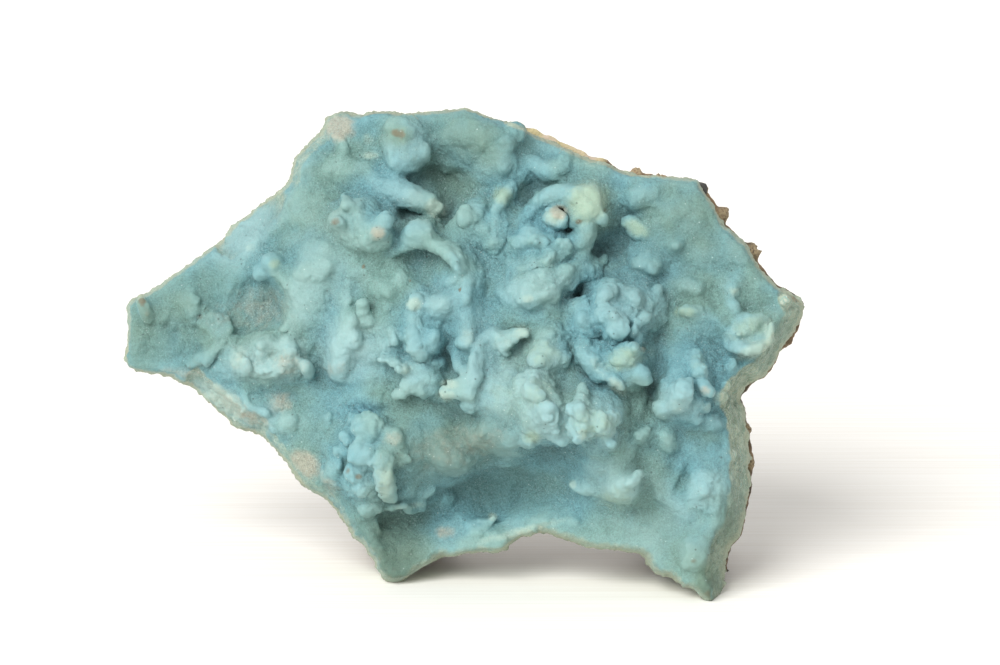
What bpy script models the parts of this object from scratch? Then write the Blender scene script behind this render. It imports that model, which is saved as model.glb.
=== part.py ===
"""A hand specimen of blue aragonite: a knobbly crust, about 109 mm wide and 74 mm tall, on rusty rock.

The specimen stands on two feet with an arch between them, and leans back on the heels of the rock.
It is drawn in the frame of its own face, in millimetres: a runs across the face, b up it and c out of it.
The face leans back by LEAN, and the last step of each piece turns it into the upright frame, in metres.
"""

import math

import bmesh
import bpy
import numpy as np
from mathutils import Vector, noise

MM = 0.001
LEAN = math.radians(14)
TOE_DROP = 1.67  # the face frame's zero is this far under the floor

GAP = 0.35  # between crust and rock
FACE_TURN = 0.15  # how much nearer the face comes for each millimetre to the right
ROCK_START = 9.0  # how far behind the face the rock starts
ROCK_TURN = 0.12
ROCK_DISH = (5, 20, 40, 30, 0, 1.5)  # the dish in its face: across, up, half width, half height, turn, depth
LEAST_CRUST = 2.0
SLAB = 10.0  # thickness of the flat slab that each piece is pushed out of
SLAB_CELL = 0.8
FUSE_CELL = 0.62
ROCK_CELL = 1.0
NOISE_SEED = 3
ROUGH_SIZE = 5.0  # spacing of the dents in the broken edges
EDGE_ROUGH = 0.35
BACK_ROUGH = 1.2
BUMP_SIZE = 8.0  # spacing of the broad bumps of the crust
BUMP_HEIGHT = 3.0
BUMP_FADE = 5.0  # how far in from the edge they reach their full height
WARPS = [(8.0, 1.0), (3.0, 0.5)]  # size and reach of the soft noise that keeps knobs and fingers irregular
SKIRT = 1.6  # reach of the skirt round a knob, in radii
SLANT_FOOT = 0.5  # share of the crust's height at the foot of a slanting broken face
ROUND_FOOT = 0.72  # the same at a rounded edge
SLANTING = 1.6  # a broken face wider than this slants, and a narrower one is rounded
CRUST_TRIANGLES = 7200
ROCK_TRIANGLES = 2300

CRUST_COLOUR = (0.30, 0.53, 0.54, 1.0)
ROCK_COLOUR = (0.20, 0.14, 0.085, 1.0)

# The broken edge, stretch by stretch and clockwise from the left tip. Each has the width of the
# slanting broken face that shows beside it, how far the rock stands proud of it, and its points.
EDGE = [
    ("left tip", 1.2, -0.6, [
        (-53.9, 37.4), (-54.6, 38.5), (-54.1, 41.0), (-53.9, 43.8), (-54.0, 47.0), (-53.2, 48.0),
        (-51.8, 48.5)]),
    ("upper left", 1.1, -0.3, [
        (-49.0, 50.1), (-46.5, 52.0), (-43.0, 54.3), (-40.5, 56.3)]),
    ("pale facet", 3.6, -0.6, [
        (-39.0, 57.2), (-37.5, 59.3), (-36.3, 60.7), (-34.8, 61.3), (-33.3, 62.9), (-31.5, 64.1)]),
    ("above the facet", 1.4, -0.6, [
        (-28.6, 65.9)]),
    ("left shoulder", 1.8, -1.0, [
        (-27.7, 67.2), (-27.5, 69.0), (-27.1, 70.7), (-25.2, 72.5), (-24.3, 73.6), (-22.6, 74.7),
        (-22.2, 75.8), (-22.0, 77.0), (-20.8, 77.6), (-19.2, 78.1)]),
    ("top", 1.0, 0.0, [
        (-17.6, 77.5), (-16.3, 77.5), (-15.0, 78.1), (-12.0, 78.2), (-10.8, 77.8), (-8.6, 77.6),
        (-6.0, 77.9), (-2.5, 78.1), (0.2, 78.6), (1.5, 78.2), (3.0, 77.5), (5.0, 76.9), (6.4, 76.5),
        (8.6, 75.6)]),
    ("flake", 0.8, 1.0, [
        (10.5, 74.6), (12.5, 73.6), (14.5, 72.9), (17.0, 71.6), (20.0, 70.2), (22.3, 69.8)]),
    ("upper right", 1.0, 0.3, [
        (24.0, 69.0), (26.0, 68.2), (29.0, 67.8), (33.0, 67.4), (36.0, 67.1), (37.1, 67.2)]),
    ("right slope", 1.2, 0.6, [
        (37.6, 66.1), (38.9, 64.0), (40.0, 62.3), (40.6, 60.8), (41.1, 59.8), (42.3, 59.0), (43.5, 57.8),
        (45.0, 56.4), (45.9, 54.7), (46.9, 53.0), (48.3, 51.4), (49.8, 49.9)]),
    ("right point", 3.0, 0.5, [
        (51.9, 49.0), (53.1, 48.0), (54.1, 47.3), (53.8, 45.7), (53.0, 43.8), (51.9, 41.7), (50.3, 40.0),
        (49.7, 38.5), (48.8, 37.1), (47.7, 35.8), (46.4, 35.3), (45.3, 34.6), (44.2, 33.6)]),
    ("right edge", 3.4, 0.5, [
        (43.7, 32.2), (44.5, 30.6), (44.9, 28.5), (45.1, 26.5), (45.3, 24.3), (45.6, 22.7), (45.3, 21.2),
        (45.4, 19.8), (45.7, 18.1), (45.1, 16.4), (44.9, 14.5), (44.6, 12.5), (43.9, 10.3), (42.7, 9.2),
        (42.0, 7.3), (41.6, 5.5), (41.5, 3.7), (41.8, 2.2), (41.0, 0.6)]),
    ("right foot", 1.0, -1.0, [
        (39.6, -0.4), (38.5, 0.2), (37.2, 1.2), (36.0, 2.1), (34.8, 2.3), (33.8, 3.4), (33.0, 4.1),
        (31.5, 4.3), (30.2, 5.0), (29.5, 5.8), (29.2, 7.2), (28.5, 7.5)]),
    ("arch", 1.0, -2.0, [
        (26.5, 7.9), (24.0, 8.3), (20.5, 8.6), (18.5, 9.2), (17.0, 9.8), (15.0, 10.2), (13.5, 10.9),
        (12.3, 11.0), (11.0, 10.4), (9.5, 10.2), (7.8, 9.4), (6.8, 8.3), (6.0, 7.7), (4.0, 7.6),
        (2.0, 7.6), (0.0, 7.3), (-2.5, 7.0), (-3.5, 7.2), (-4.7, 6.8), (-5.5, 5.7), (-6.5, 5.4),
        (-7.5, 5.0), (-8.7, 3.4)]),
    ("left foot", 1.6, -1.0, [
        (-10.0, 2.8), (-11.0, 2.5), (-12.3, 2.8), (-13.0, 3.6), (-14.0, 4.9), (-14.2, 6.2), (-15.3, 7.7),
        (-16.5, 9.1), (-17.8, 9.8), (-18.2, 11.0), (-19.5, 12.8), (-20.5, 14.5)]),
    ("lower left", 1.7, -1.8, [
        (-21.5, 15.6), (-23.5, 17.0), (-25.5, 18.1), (-27.0, 20.2), (-28.1, 21.6), (-29.5, 23.3),
        (-31.0, 25.0), (-32.0, 25.9)]),
    ("pink fracture", 3.2, -2.2, [
        (-33.5, 26.9), (-35.5, 27.1), (-37.2, 27.7), (-38.3, 29.3), (-40.0, 30.6), (-41.5, 31.9),
        (-42.6, 33.2), (-44.0, 34.4)]),
    ("under the wing", 1.2, -1.8, [
        (-45.5, 34.9), (-46.9, 36.0), (-50.0, 36.3), (-52.8, 36.7)]),
]

# Soft swells (+) and hollows (-): across, up, half width, half height, turn in degrees, depth.
SWELLS = [
    (10, 42, 25, 17, 0, 7.0), (24, 24, 13, 9, 0, 4.0), (38, 5, 9, 10, 0, 3.0), (-16, 25, 7, 9, 10, 4.0),
    (-14, 50, 12, 16, 0, 2.5), (12, 31, 13, 5, -5, 4.0), (-22, 66, 8, 10, 30, 1.5),
    (2, 74, 8, 5, 0, 1.5), (7, 17, 14, 5.0, 4, -7.0), (-8, 13, 5, 5, 0, -2.5),
    (-14.5, 10, 2.0, 6, 15, 2.0), (-1, 23, 7, 5, 15, -1.5), (-3, 68, 5.5, 6, 10, -4.0),
    (-8.5, 61.5, 4, 2.2, 0, -4.0), (-2.8, 61.5, 1.6, 4, -10, -3.5), (24.5, 57, 4.2, 7, -15, -5.0),
    (15.8, 59.5, 2.2, 2.6, 0, -3.0), (21.0, 56, 1.8, 2.2, 0, -3.0), (11, 73, 5, 2.5, -20, -2.5),
    (10.5, 65, 3, 3.5, 0, -2.5), (14, 52.6, 3.2, 1.0, 0, -2.5), (-6.4, 54.0, 3.2, 1.8, 0, -2.2),
    (-23.0, 38.5, 1.6, 4.5, 10, -1.4), (-2.6, 39.5, 1.6, 5.0, 10, -4.0),
    (17.9, 48.4, 1.5, 2.2, 20, -6.0), (30.4, 32.6, 1.0, 2.6, 5, -4.5), (30.6, 41.6, 1.6, 3.0, 10, -3.0),
    (39, 40.2, 5.0, 1.0, -12, -2.2), (-16.3, 30.2, 2.8, 1.2, -15, -3.5),
    (-33.0, 46.6, 5.4, 4.2, 0, -1.6), (-21.2, 46.4, 1.7, 5.6, -15, -1.4),
    (12.5, 24.6, 3.4, 1.8, -20, -3.0), (15.5, 33.5, 2.0, 2.2, 0, -2.5),
    (35.4, 19.6, 0.8, 2.2, -20, -1.6), (47, 47, 4.5, 3.5, 0, -1.5), (33, 51, 6, 5, 0, -1.2),
    (-18.7, 21.5, 1.0, 2.2, -25, -2.5), (45.6, 43.0, 2.8, 1.0, 22, -0.9),
    (26.4, 44.2, 0.8, 1.8, 0, -2.0), (-44, 41, 4, 3, 0, -0.8),
]

# Terraces: the ground to the left of each line is raised, most beside the line. Height, reach, width of
# the step, and the line's points.
LEDGES = [
    (2.8, 4.0, 0.6, [(-13.4, 54.8), (-9.2, 56.2), (-6.0, 56.9), (-3.4, 56.5), (-1.6, 54.6),
                     (-0.8, 51.6)]),
    (5.0, 9.0, 1.3, [(-12.5, 14.0), (-7.0, 15.8), (-5.2, 18.2), (-1.0, 19.0), (2.0, 20.4), (5.0, 21.6),
                     (9.0, 23.8), (14.0, 25.8), (20.0, 25.4), (25.5, 23.6)]),
    (2.2, 6.0, 0.7, [(2.6, 44.0), (1.4, 48.0), (1.4, 51.0), (0.6, 55.0), (-1.6, 58.6), (-3.0, 60.2)]),
    (1.6, 9.0, 2.6, [(-29.0, 66.0), (-28.0, 60.0), (-28.0, 54.0), (-28.5, 50.0)]),
    (2.6, 8.0, 0.7, [(-29.0, 53.0), (-28.2, 50.4), (-27.6, 48.0), (-27.8, 45.4), (-29.6, 43.4),
                     (-32.5, 42.4), (-36.0, 42.4)]),
    (1.2, 5.0, 0.6, [(-45.0, 37.2), (-42.0, 38.2), (-39.0, 39.6), (-37.8, 41.4)]),
    (1.0, 5.0, 0.8, [(-37.6, 41.6), (-38.6, 44.6), (-38.0, 48.4), (-36.0, 51.0), (-31.0, 51.0)]),
    (1.4, 5.0, 0.7, [(-39.0, 35.8), (-35.5, 34.6), (-31.5, 34.8), (-28.0, 34.6), (-25.4, 36.2)]),
    (2.0, 6.0, 0.9, [(-13.0, 31.6), (-8.0, 31.6), (-4.0, 31.0), (0.0, 30.0), (4.0, 28.4), (8.0, 27.4),
                     (11.0, 25.4)]),
    (1.4, 6.0, 0.8, [(30.6, 29.0), (29.7, 33.0), (29.6, 37.0), (30.4, 41.0), (29.8, 45.0)]),
    (1.0, 6.0, 0.8, [(33.5, 41.0), (31.9, 37.0), (31.5, 33.0), (32.6, 30.0)]),
    (1.8, 5.0, 0.8, [(-21.0, 31.5), (-18.5, 30.2), (-15.0, 29.6), (-12.0, 30.2)]),
    (1.6, 7.0, 1.5, [(26.0, 22.0), (29.0, 18.5), (33.0, 15.0), (37.0, 10.0)]),
    (1.8, 5.0, 0.9, [(12.0, 46.0), (17.5, 45.8), (21.0, 44.0), (23.0, 41.5)]),
]

# Lumps with a crease round their foot: across, up, half width, half height, turn in degrees, height.
LUMPS = [
    (0.0, 48.6, 2.8, 6.4, 8, 3.8), (-2.8, 51.0, 2.6, 3.2, 30, 4.4), (-4.4, 46.8, 3.3, 2.8, 20, 5.0),
    (-2.6, 56.0, 2.5, 2.6, 20, 3.6), (-8.2, 60.0, 2.3, 2.2, 0, 4.6), (-5.4, 60.2, 2.4, 2.3, 0, 5.0),
    (-6.8, 58.2, 4.2, 2.2, 0, 3.8), (12.4, 50.0, 8.4, 3.1, 8, 4.4), (22.0, 20.6, 6.6, 6.0, -30, 3.0),
    (23.8, 18.4, 4.2, 3.2, 10, 4.6), (17.0, 23.4, 6.0, 4.0, -40, 2.2), (-8.5, 24.5, 6.2, 8.0, 0, 3.8),
    (-4.5, 25.5, 4.0, 3.4, 0, 3.6), (3.0, 26.0, 4.4, 3.0, 0, 2.4), (6.0, 35.0, 9.5, 7.5, -15, 3.4),
    (13.5, 33.0, 6.5, 9.0, 0, 3.6), (25.0, 46.2, 7.0, 6.0, 10, 3.6), (25.2, 37.2, 5.4, 4.4, 0, 4.2),
    (2.6, 60.4, 5.6, 4.6, 0, 3.0), (12.2, 55.4, 6.2, 4.8, 10, 4.2), (-8.0, 41.0, 5.4, 6.4, 0, 2.6),
    (-25.4, 50.0, 3.2, 8.6, -25, 2.8), (34.5, 33.0, 5.6, 5.0, 0, 3.0), (-14.5, 23.0, 5.6, 8.6, 8, 4.2),
    (20.5, 29.5, 6.0, 5.0, 0, 4.2), (-33.0, 38.8, 8.4, 4.2, 5, 1.4), (-13, 47, 15.5, 16, 0, 3.0),
    (-36.2, 38.8, 3.4, 4.2, 20, 3.2), (-28.0, 39.8, 3.2, 3.6, 0, 3.8), (-32.0, 40.4, 3.6, 2.8, 0, 3.6),
    (-31.0, 37.2, 3.4, 2.4, 0, 3.2), (-25.8, 37.0, 1.5, 2.6, 30, 3.2), (-29.2, 43.8, 2.2, 1.9, 0, 3.2),
    (-19.8, 37.4, 2.6, 2.6, 0, 4.2), (-30.6, 52.6, 3.4, 2.4, -30, 2.2),
    (-40.2, 42.6, 3.0, 3.2, 30, 2.2), (-41.5, 38.9, 3.4, 1.5, 20, 1.9),
    (-44.2, 47.6, 1.7, 3.2, 15, 2.0), (-28.6, 28.6, 2.6, 1.9, 0, 1.8), (-20.9, 20.6, 2.7, 2.7, 0, 3.6),
    (-19.6, 24.0, 1.9, 1.7, 0, 2.0), (-18.4, 41.8, 2.8, 8.0, -15, 3.4), (-16.0, 34.0, 5.0, 2.2, 0, 1.4),
    (-12.5, 34.5, 4.0, 3.0, 0, 1.2), (-15.8, 60.0, 6.8, 5.8, -10, 5.0), (-16.9, 63.2, 2.8, 2.4, 0, 5.8),
    (-19.4, 60.4, 2.4, 2.4, 0, 5.0), (-13.0, 60.8, 2.8, 2.6, 0, 6.2), (-16.0, 57.6, 3.0, 2.6, 0, 5.2),
    (-12.8, 58.2, 2.4, 2.0, 0, 5.6), (0.5, 73.2, 5.4, 4.6, 0, 2.6), (4.5, 70.4, 4.6, 3.8, 0, 2.2),
    (-9.6, 72.8, 4.8, 5.4, 5, 1.6), (-7.3, 42.0, 2.8, 5.2, 5, 6.6), (-10.8, 42.3, 2.1, 2.2, 0, 5.4),
    (-4.7, 42.0, 1.9, 3.4, 0, 5.6), (12.8, 39.4, 3.4, 4.0, -20, 5.6), (15.8, 41.8, 2.1, 1.8, 0, 2.4),
    (10.8, 34.0, 4.0, 3.6, 0, 5.4), (12.2, 29.4, 4.4, 3.8, 0, 6.0), (5.0, 33.6, 4.6, 4.8, 0, 2.2),
    (19.4, 29.0, 3.8, 3.4, 0, 6.6), (23.2, 28.4, 2.8, 3.2, 0, 5.8), (22.0, 38.6, 4.2, 3.0, -10, 4.3),
    (25.2, 38.9, 3.4, 2.4, 20, 6.2), (24.3, 43.6, 3.6, 2.8, 0, 5.0), (22.6, 48.6, 3.6, 2.8, 0, 5.2),
    (26.8, 48.4, 3.2, 3.0, 0, 5.4), (28.8, 45.8, 2.2, 2.0, 0, 5.0), (28.2, 54.4, 3.0, 2.4, -20, 2.4),
    (30.5, 53.2, 1.9, 1.7, 0, 1.9), (12.6, 49.6, 5.4, 2.6, 0, 3.5), (11.2, 57.4, 3.6, 2.8, 10, 5.6),
    (13.6, 54.8, 2.6, 2.6, 0, 6.0), (9.2, 55.2, 2.4, 1.8, 0, 2.0), (5.0, 57.2, 2.6, 2.5, 0, 3.4),
    (1.4, 62.0, 3.2, 2.6, 20, 4.6), (1.2, 59.0, 1.7, 1.2, 0, 1.9), (3.0, 73.6, 3.8, 3.4, 0, 1.6),
    (2.7, 67.4, 2.4, 2.4, 0, 1.1), (7.6, 67.6, 3.2, 2.4, 60, 1.1), (29.6, 64.6, 3.0, 2.6, 0, 1.2),
    (34.0, 61.5, 4.5, 3.4, 0, 0.8), (43.0, 56.2, 3.6, 2.4, -40, 0.9), (38.4, 45.6, 4.4, 2.0, 0, 1.2),
    (43.0, 46.7, 1.8, 1.9, 0, 2.4), (45.2, 42.5, 4.6, 2.9, 25, 3.0), (34.2, 32.4, 3.2, 2.6, 10, 5.6),
    (37.4, 35.4, 2.2, 3.6, 10, 4.2), (39.2, 28.8, 2.3, 1.9, 0, 2.2), (36.4, 49.8, 2.8, 1.6, 0, 1.6),
    (28.4, 26.6, 3.0, 2.0, 35, 2.7), (32.4, 26.2, 2.2, 2.9, 0, 3.0), (39.0, 17.6, 3.6, 4.2, -20, 2.0),
    (36.4, 7.4, 3.0, 2.6, 20, 1.8), (-3.1, 16.6, 2.0, 1.8, 0, 3.0), (-4.0, 24.5, 3.6, 3.4, 0, 1.4),
    (4.0, 23.8, 4.4, 2.6, 15, 1.2), (-15.3, 26.6, 3.4, 2.6, 0, 4.4), (-15.0, 22.8, 3.6, 2.8, 0, 4.4),
    (-9.6, 17.6, 3.2, 3.0, 0, 3.5), (17.0, 12.9, 1.6, 1.0, -10, 1.1), (12.2, 12.6, 2.4, 0.9, 10, 0.9),
    (-26.0, 69.4, 2.6, 3.4, -10, 1.1), (-18.0, 55.5, 5.0, 3.4, 0, 1.4), (33.5, 56.2, 1.8, 1.6, 0, 1.1),
]

# Knobs that stand clear of the face: across, up, radius, height of the middle over the face.
KNOBS = [
    (-17.5, 29.0, 1.5, 0.6), (-15.0, 27.4, 2.6, 0.4), (-18.5, 26.0, 1.6, 0.8), (-11.2, 25.6, 2.0, 1.0),
    (-15.7, 24.0, 2.5, 0.8), (-17.1, 20.8, 1.6, 1.2), (-16.0, 18.6, 1.7, 0.4), (-15.1, 15.2, 1.6, 0.6),
    (-20.2, 23.7, 1.3, 0.4), (-12.9, 22.4, 1.9, 1.2), (-2.6, 23.6, 2.8, -1.2), (-28.4, 51.4, 1.3, 0.1),
    (-9.7, 71.5, 3.78, -0.2), (-10.2, 74.3, 3.24, -0.2), (-7.2, 71.2, 1.51, 2.4),
    (-20.0, 75.4, 2.38, -2.5), (7.7, 75.3, 2.05, 0.4), (6.6, 74.0, 1.51, 0.2), (-20.2, 60.6, 0.9, 1.5),
    (-13.6, 58.8, 1.4, 1.1), (-12.9, 60.4, 1.4, 1.1), (-7.6, 47.4, 1.3, 2.2), (0.4, 41.9, 1.73, 2.0),
    (-9.3, 36.9, 0.95, 3.6), (-4.0, 37.4, 1.1, 1.2), (-5.1, 34.2, 1.84, 0.9), (1.2, 31.7, 1.73, 0.0),
    (-30.7, 53.5, 1.73, 0.6), (-32.4, 52.0, 1.4, 0.0), (15.7, 38.7, 1.1, 1.8), (11.3, 32.6, 1.4, 1.7),
    (10.6, 26.2, 1.4, 1.5), (16.3, 26.8, 1.4, 1.1), (18.9, 26.7, 0.9, 2.8), (23.8, 25.8, 0.9, 2.4),
    (21.9, 28.6, 1.62, 1.6), (18.2, 30.6, 1.62, 1.6), (30.8, 49.5, 0.9, 0.7), (43.0, 49.3, 0.95, 0.8),
    (51.0, 47.7, 1.1, 0.6), (34.0, 56.3, 0.9, 0.4), (37.0, 38.7, 1.15, 1.2), (37.7, 37.1, 1.05, 1.6),
    (41.3, 34.6, 1.35, 0.8), (33.2, 31.2, 2.16, 1.0), (35.0, 33.5, 1.94, 1.5), (38.3, 33.7, 1.0, 2.4),
    (40.5, 32.4, 1.1, 1.6), (38.2, 30.9, 1.05, 2.2), (36.8, 30.0, 1.4, 1.3), (40.4, 36.6, 1.0, 0.8),
    (24.3, 16.9, 2.4, 0.6), (15.5, 57.0, 1.3, 1.5), (19.6, 63.0, 2.7, 3.2), (20.3, 64.8, 1.73, 3.8),
    (18.4, 61.0, 1.4, 4.1), (21.8, 61.6, 1.1, 4.6), (22.5, 60.8, 0.6, 4.4), (14.4, 61.1, 1.67, 3.0),
    (6.4, 65.0, 1.62, 0.6), (28.0, 36.5, 1.62, 0.4), (2.2, 52.0, 1.0, 0.6), (4.0, 51.6, 0.8, 0.5),
    (8.6, 52.2, 1.62, 0.2), (-21.6, 29.2, 0.8, 0.4),
]

# Fingers, arches and ridges that stand clear: each point is across, up, height over the face, radius.
STEMS = [
    [(-20.0, 68.6, -1.8, 3.2), (-14.5, 66.9, -0.2, 3.0), (-10.0, 65.2, 2.0, 2.4), (-6.6, 63.7, 3.8, 1.6),
     (-4.2, 62.5, 4.8, 0.85)],
    [(-12.4, 55.2, 0.3, 0.5), (-9.8, 56.6, -0.2, 1.2), (-7.2, 58.6, 0.2, 2.4)],
    [(-18.5, 65.4, 1.6, 0.35), (-18.2, 63.6, 0.8, 0.8)],
    [(-8.1, 76.4, 0.8, 0.8), (-7.4, 74.8, 0.8, 0.7)],
    [(-20.9, 74.3, 0.3, 0.5), (-19.6, 72.8, 0.6, 0.7), (-18.9, 70.4, 0.2, 0.7)],
    [(-51.8, 47.7, 1.0, 1.0), (-51.2, 46.6, 0.6, 1.2), (-50.8, 45.2, 0.0, 1.1)],
    [(10.6, 69.6, 0.2, 1.5), (12.2, 68.8, 0.5, 1.7), (14.2, 68.8, 0.5, 1.7), (16.2, 70.4, 0.0, 1.4)],
    [(4.6, 62.3, 1.2, 0.75), (5.6, 63.6, 1.4, 1.3), (6.8, 65.8, 0.8, 1.3)],
    [(-2.0, 58.7, 0.8, 0.45), (-1.4, 60.0, 0.6, 1.0), (0.2, 61.4, 0.6, 1.4)],
    [(8.6, 59.6, -0.4, 1.8), (10.8, 61.8, 1.2, 1.8), (12.8, 63.8, 2.2, 1.9), (15.4, 64.9, 3.0, 1.9),
     (18.2, 64.4, 3.6, 2.1)],
    [(19.2, 61.0, 3.8, 1.5), (19.2, 58.4, 2.8, 1.7), (18.2, 56.4, 1.6, 1.8), (18.6, 54.2, 0.8, 1.7)],
    [(22.5, 55.2, 2.6, 0.4), (21.3, 54.0, 2.2, 0.9), (19.4, 52.6, 1.4, 1.5), (16.4, 51.6, 0.2, 1.9),
     (12.4, 51.0, -1.0, 2.1)],
    [(20.2, 55.3, 1.6, 0.5), (20.4, 53.6, 1.6, 1.0), (20.8, 51.8, 0.8, 1.4)],
    [(26.0, 60.1, 2.4, 1.0), (27.3, 59.4, 1.6, 1.25), (29.2, 58.2, 0.0, 1.3)],
    [(34.3, 46.1, 1.6, 0.65), (35.6, 46.1, 1.0, 1.0), (37.2, 46.2, 0.0, 1.3)],
    [(-15.9, 47.4, 2.2, 0.55), (-15.7, 46.2, 1.2, 0.7), (-15.0, 45.2, 0.2, 1.3)],
    [(9.9, 42.9, 2.6, 0.45), (8.2, 42.6, 2.4, 1.1), (6.4, 41.6, 1.8, 1.6), (4.4, 42.0, 1.4, 1.4),
     (2.8, 39.9, 1.2, 1.4), (1.6, 37.4, 1.6, 1.3), (0.9, 35.2, 2.0, 1.5), (0.6, 33.4, 1.6, 1.6)],
    [(7.0, 39.9, 1.6, 0.7), (6.2, 41.4, 1.6, 1.2)],
    [(-2.6, 40.6, 0.6, 0.9), (-0.9, 38.6, 1.2, 1.1), (0.3, 36.0, 1.8, 1.1)],
    [(-2.5, 34.5, 4.0, 0.4), (-1.2, 34.6, 3.2, 0.8), (0.6, 34.6, 2.0, 1.1)],
    [(-3.2, 32.8, 3.8, 0.75), (-1.6, 32.9, 3.2, 1.0), (0.6, 33.4, 2.0, 1.4)],
    [(-13.1, 38.2, 2.4, 0.35), (-11.4, 37.7, 2.2, 0.7), (-9.0, 36.8, 2.0, 1.2), (-7.4, 36.2, 1.2, 2.0),
     (-6.6, 34.4, 1.2, 1.9)],
    [(-11.6, 32.5, 2.4, 0.3), (-10.0, 33.0, 2.0, 0.7), (-8.6, 34.2, 1.4, 1.5)],
    [(-12.0, 16.8, 3.4, 1.2), (-12.3, 18.4, 3.2, 1.45), (-12.6, 20.8, 2.6, 1.4), (-13.0, 22.8, 1.8, 1.5)],
    [(-8.9, 22.4, 1.6, 0.5), (-10.0, 22.8, 1.0, 0.9), (-11.6, 23.6, 0.4, 1.6)],
    [(-11.9, 21.4, 2.9, 0.75), (-12.2, 22.6, 2.4, 1.0)],
    [(-17.0, 20.1, 2.6, 0.6), (-17.3, 21.2, 2.0, 1.0)],
    [(-12.6, 15.2, 1.8, 0.5), (-10.0, 15.6, 2.4, 0.7), (-7.8, 14.9, 2.8, 0.7), (-6.6, 16.8, 2.0, 0.9),
     (-5.4, 18.2, 1.2, 0.8)],
    [(-15.2, 13.9, 0.4, 0.5), (-14.2, 12.0, 0.4, 0.55), (-13.2, 10.4, 0.2, 0.5)],
    [(18.6, 34.2, 2.6, 0.35), (18.4, 32.9, 2.0, 0.7), (18.6, 31.4, 1.2, 1.3)],
    [(14.6, 27.6, 1.6, 0.5), (15.2, 26.2, 1.8, 0.45)],
    [(24.9, 33.7, 2.2, 0.5), (23.8, 34.6, 1.8, 1.0), (21.7, 36.3, 1.2, 1.6), (19.8, 38.6, 1.0, 1.9),
     (19.1, 41.6, 0.8, 1.9), (19.1, 44.9, 0.4, 1.9), (17.0, 47.2, -0.4, 1.7)],
    [(23.5, 33.7, 2.0, 0.4), (23.4, 34.7, 1.8, 0.7)],
    [(23.7, 46.2, 1.6, 0.35), (23.7, 45.0, 1.2, 0.8)],
    [(27.3, 45.0, 1.0, 0.5), (27.5, 43.0, 1.2, 0.7), (27.2, 41.0, 0.8, 0.8)],
    [(28.4, 40.0, 2.2, 0.6), (27.0, 40.1, 2.4, 0.9)],
    [(49.0, 43.8, 1.2, 0.7), (48.6, 42.0, 1.4, 0.9), (46.6, 40.7, 1.5, 0.9), (43.8, 40.3, 0.9, 0.9),
     (41.4, 40.6, 0.0, 0.7)],
    [(48.4, 44.9, 0.8, 0.7), (45.6, 45.0, 0.8, 0.9), (43.0, 44.2, 0.4, 0.8)],
    [(17.5, 18.6, 1.6, 0.5), (18.5, 18.2, 0.8, 0.8), (20.0, 18.0, 0.2, 1.2)],
    [(28.3, 19.9, 2.0, 0.45), (27.6, 20.2, 1.8, 0.6), (26.4, 19.0, 1.0, 1.1)],
    [(4.9, 13.7, 2.4, 0.4), (3.6, 12.5, 1.2, 1.0), (1.8, 10.9, -0.4, 1.9)],
    [(42.5, 38.4, 1.4, 0.5), (42.2, 37.4, 0.8, 0.8)],
    [(-38.6, 44.4, 0.0, 0.9), (-38.2, 42.4, 0.1, 1.0), (-39.2, 40.2, 0.0, 0.9)],
    [(-38.4, 40.2, 0.1, 0.8), (-41.0, 38.8, 0.1, 0.9), (-44.2, 37.8, -0.2, 0.7)],
    [(-34.8, 33.0, 0.8, 0.5), (-33.6, 30.8, 0.6, 0.6), (-30.8, 29.8, 0.4, 0.6), (-30.4, 27.0, 0.2, 0.5)],
]

# Where the crust is bumpy all over: across, up, half width, half height, turn in degrees, amount.
RUGGED = [
    (12, 56, 9, 9, 0, 0.9), (22, 45, 11, 9, 0, 1.0), (38, 34, 8, 8, 0, 0.8), (-9, 38, 8, 9, 0, 0.8),
    (-16, 24, 7, 10, 0, 1.0), (-32, 38, 11, 5, 0, 0.9), (18, 28, 12, 6, 0, 0.9),
    (-15, 61, 7, 5, 0, 0.6), (1, 58, 6, 10, 0, 0.7), (-15, 48, 13, 12, 0, 0.6), (-42, 43, 8, 6, 0, 0.6),
    (8, 37, 9, 7, 0, 0.7), (4, 73, 10, 6, 0, 0.4), (-30, 29, 8, 4, 0, 0.6), (-2, 22, 12, 6, 0, 0.2),
    (30, 52, 8, 6, 0, 0.6),
]
RUGGED_FLOOR = 0.35  # the least amount anywhere

# Bulges on the back of the rock: across, up, half width, half height, turn in degrees, depth.
HEELS = [
    (-9.5, 5.0, 7.5, 17.0, -4, 24.0), (37.0, 5.0, 8.0, 18.0, 4, 25.0), (4.0, 44.0, 26.0, 17.0, 5, 7.0),
    (-22.0, 50.0, 12.0, 9.0, 30, 3.5), (26.0, 46.0, 12.0, 10.0, -20, 4.5),
]
ROCK_EDGE = 2.0  # thickness of the rock at its edge
ROCK_TAPER = 3.5  # how far in from the edge it reaches its full depth

# Where the specimen touches the floor: across, back, half width and half depth, upright frame.
CONTACTS = [(39.6, -4.6, 2.4, 3.8), (-11.2, 7.6, 2.8, 4.4), (-9.0, 30.0, 4.5, 5.0), (37.0, 30.0, 4.5, 5.5)]
SOLE_LIFT = 1.7  # how far the rest of the underside stays off the floor
ARCH = (12.5, 15.5, 3.1)  # the arch: its middle, its half width, and how much higher it clears the floor
FLOOR_BLOCK = 0.2  # width of the block that cuts the feet flat, in metres
FLOOR_DEPTH = 0.02


def ellipse(a, b, spot):
    """0 in the middle of a spot and 1 on its ellipse."""
    across, up, wide, tall, turn = spot[:5]
    cos, sin = math.cos(math.radians(turn)), math.sin(math.radians(turn))
    along = (a - across) * cos + (b - up) * sin
    beside = (b - up) * cos - (a - across) * sin
    return (along / wide) ** 2 + (beside / tall) ** 2


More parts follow.
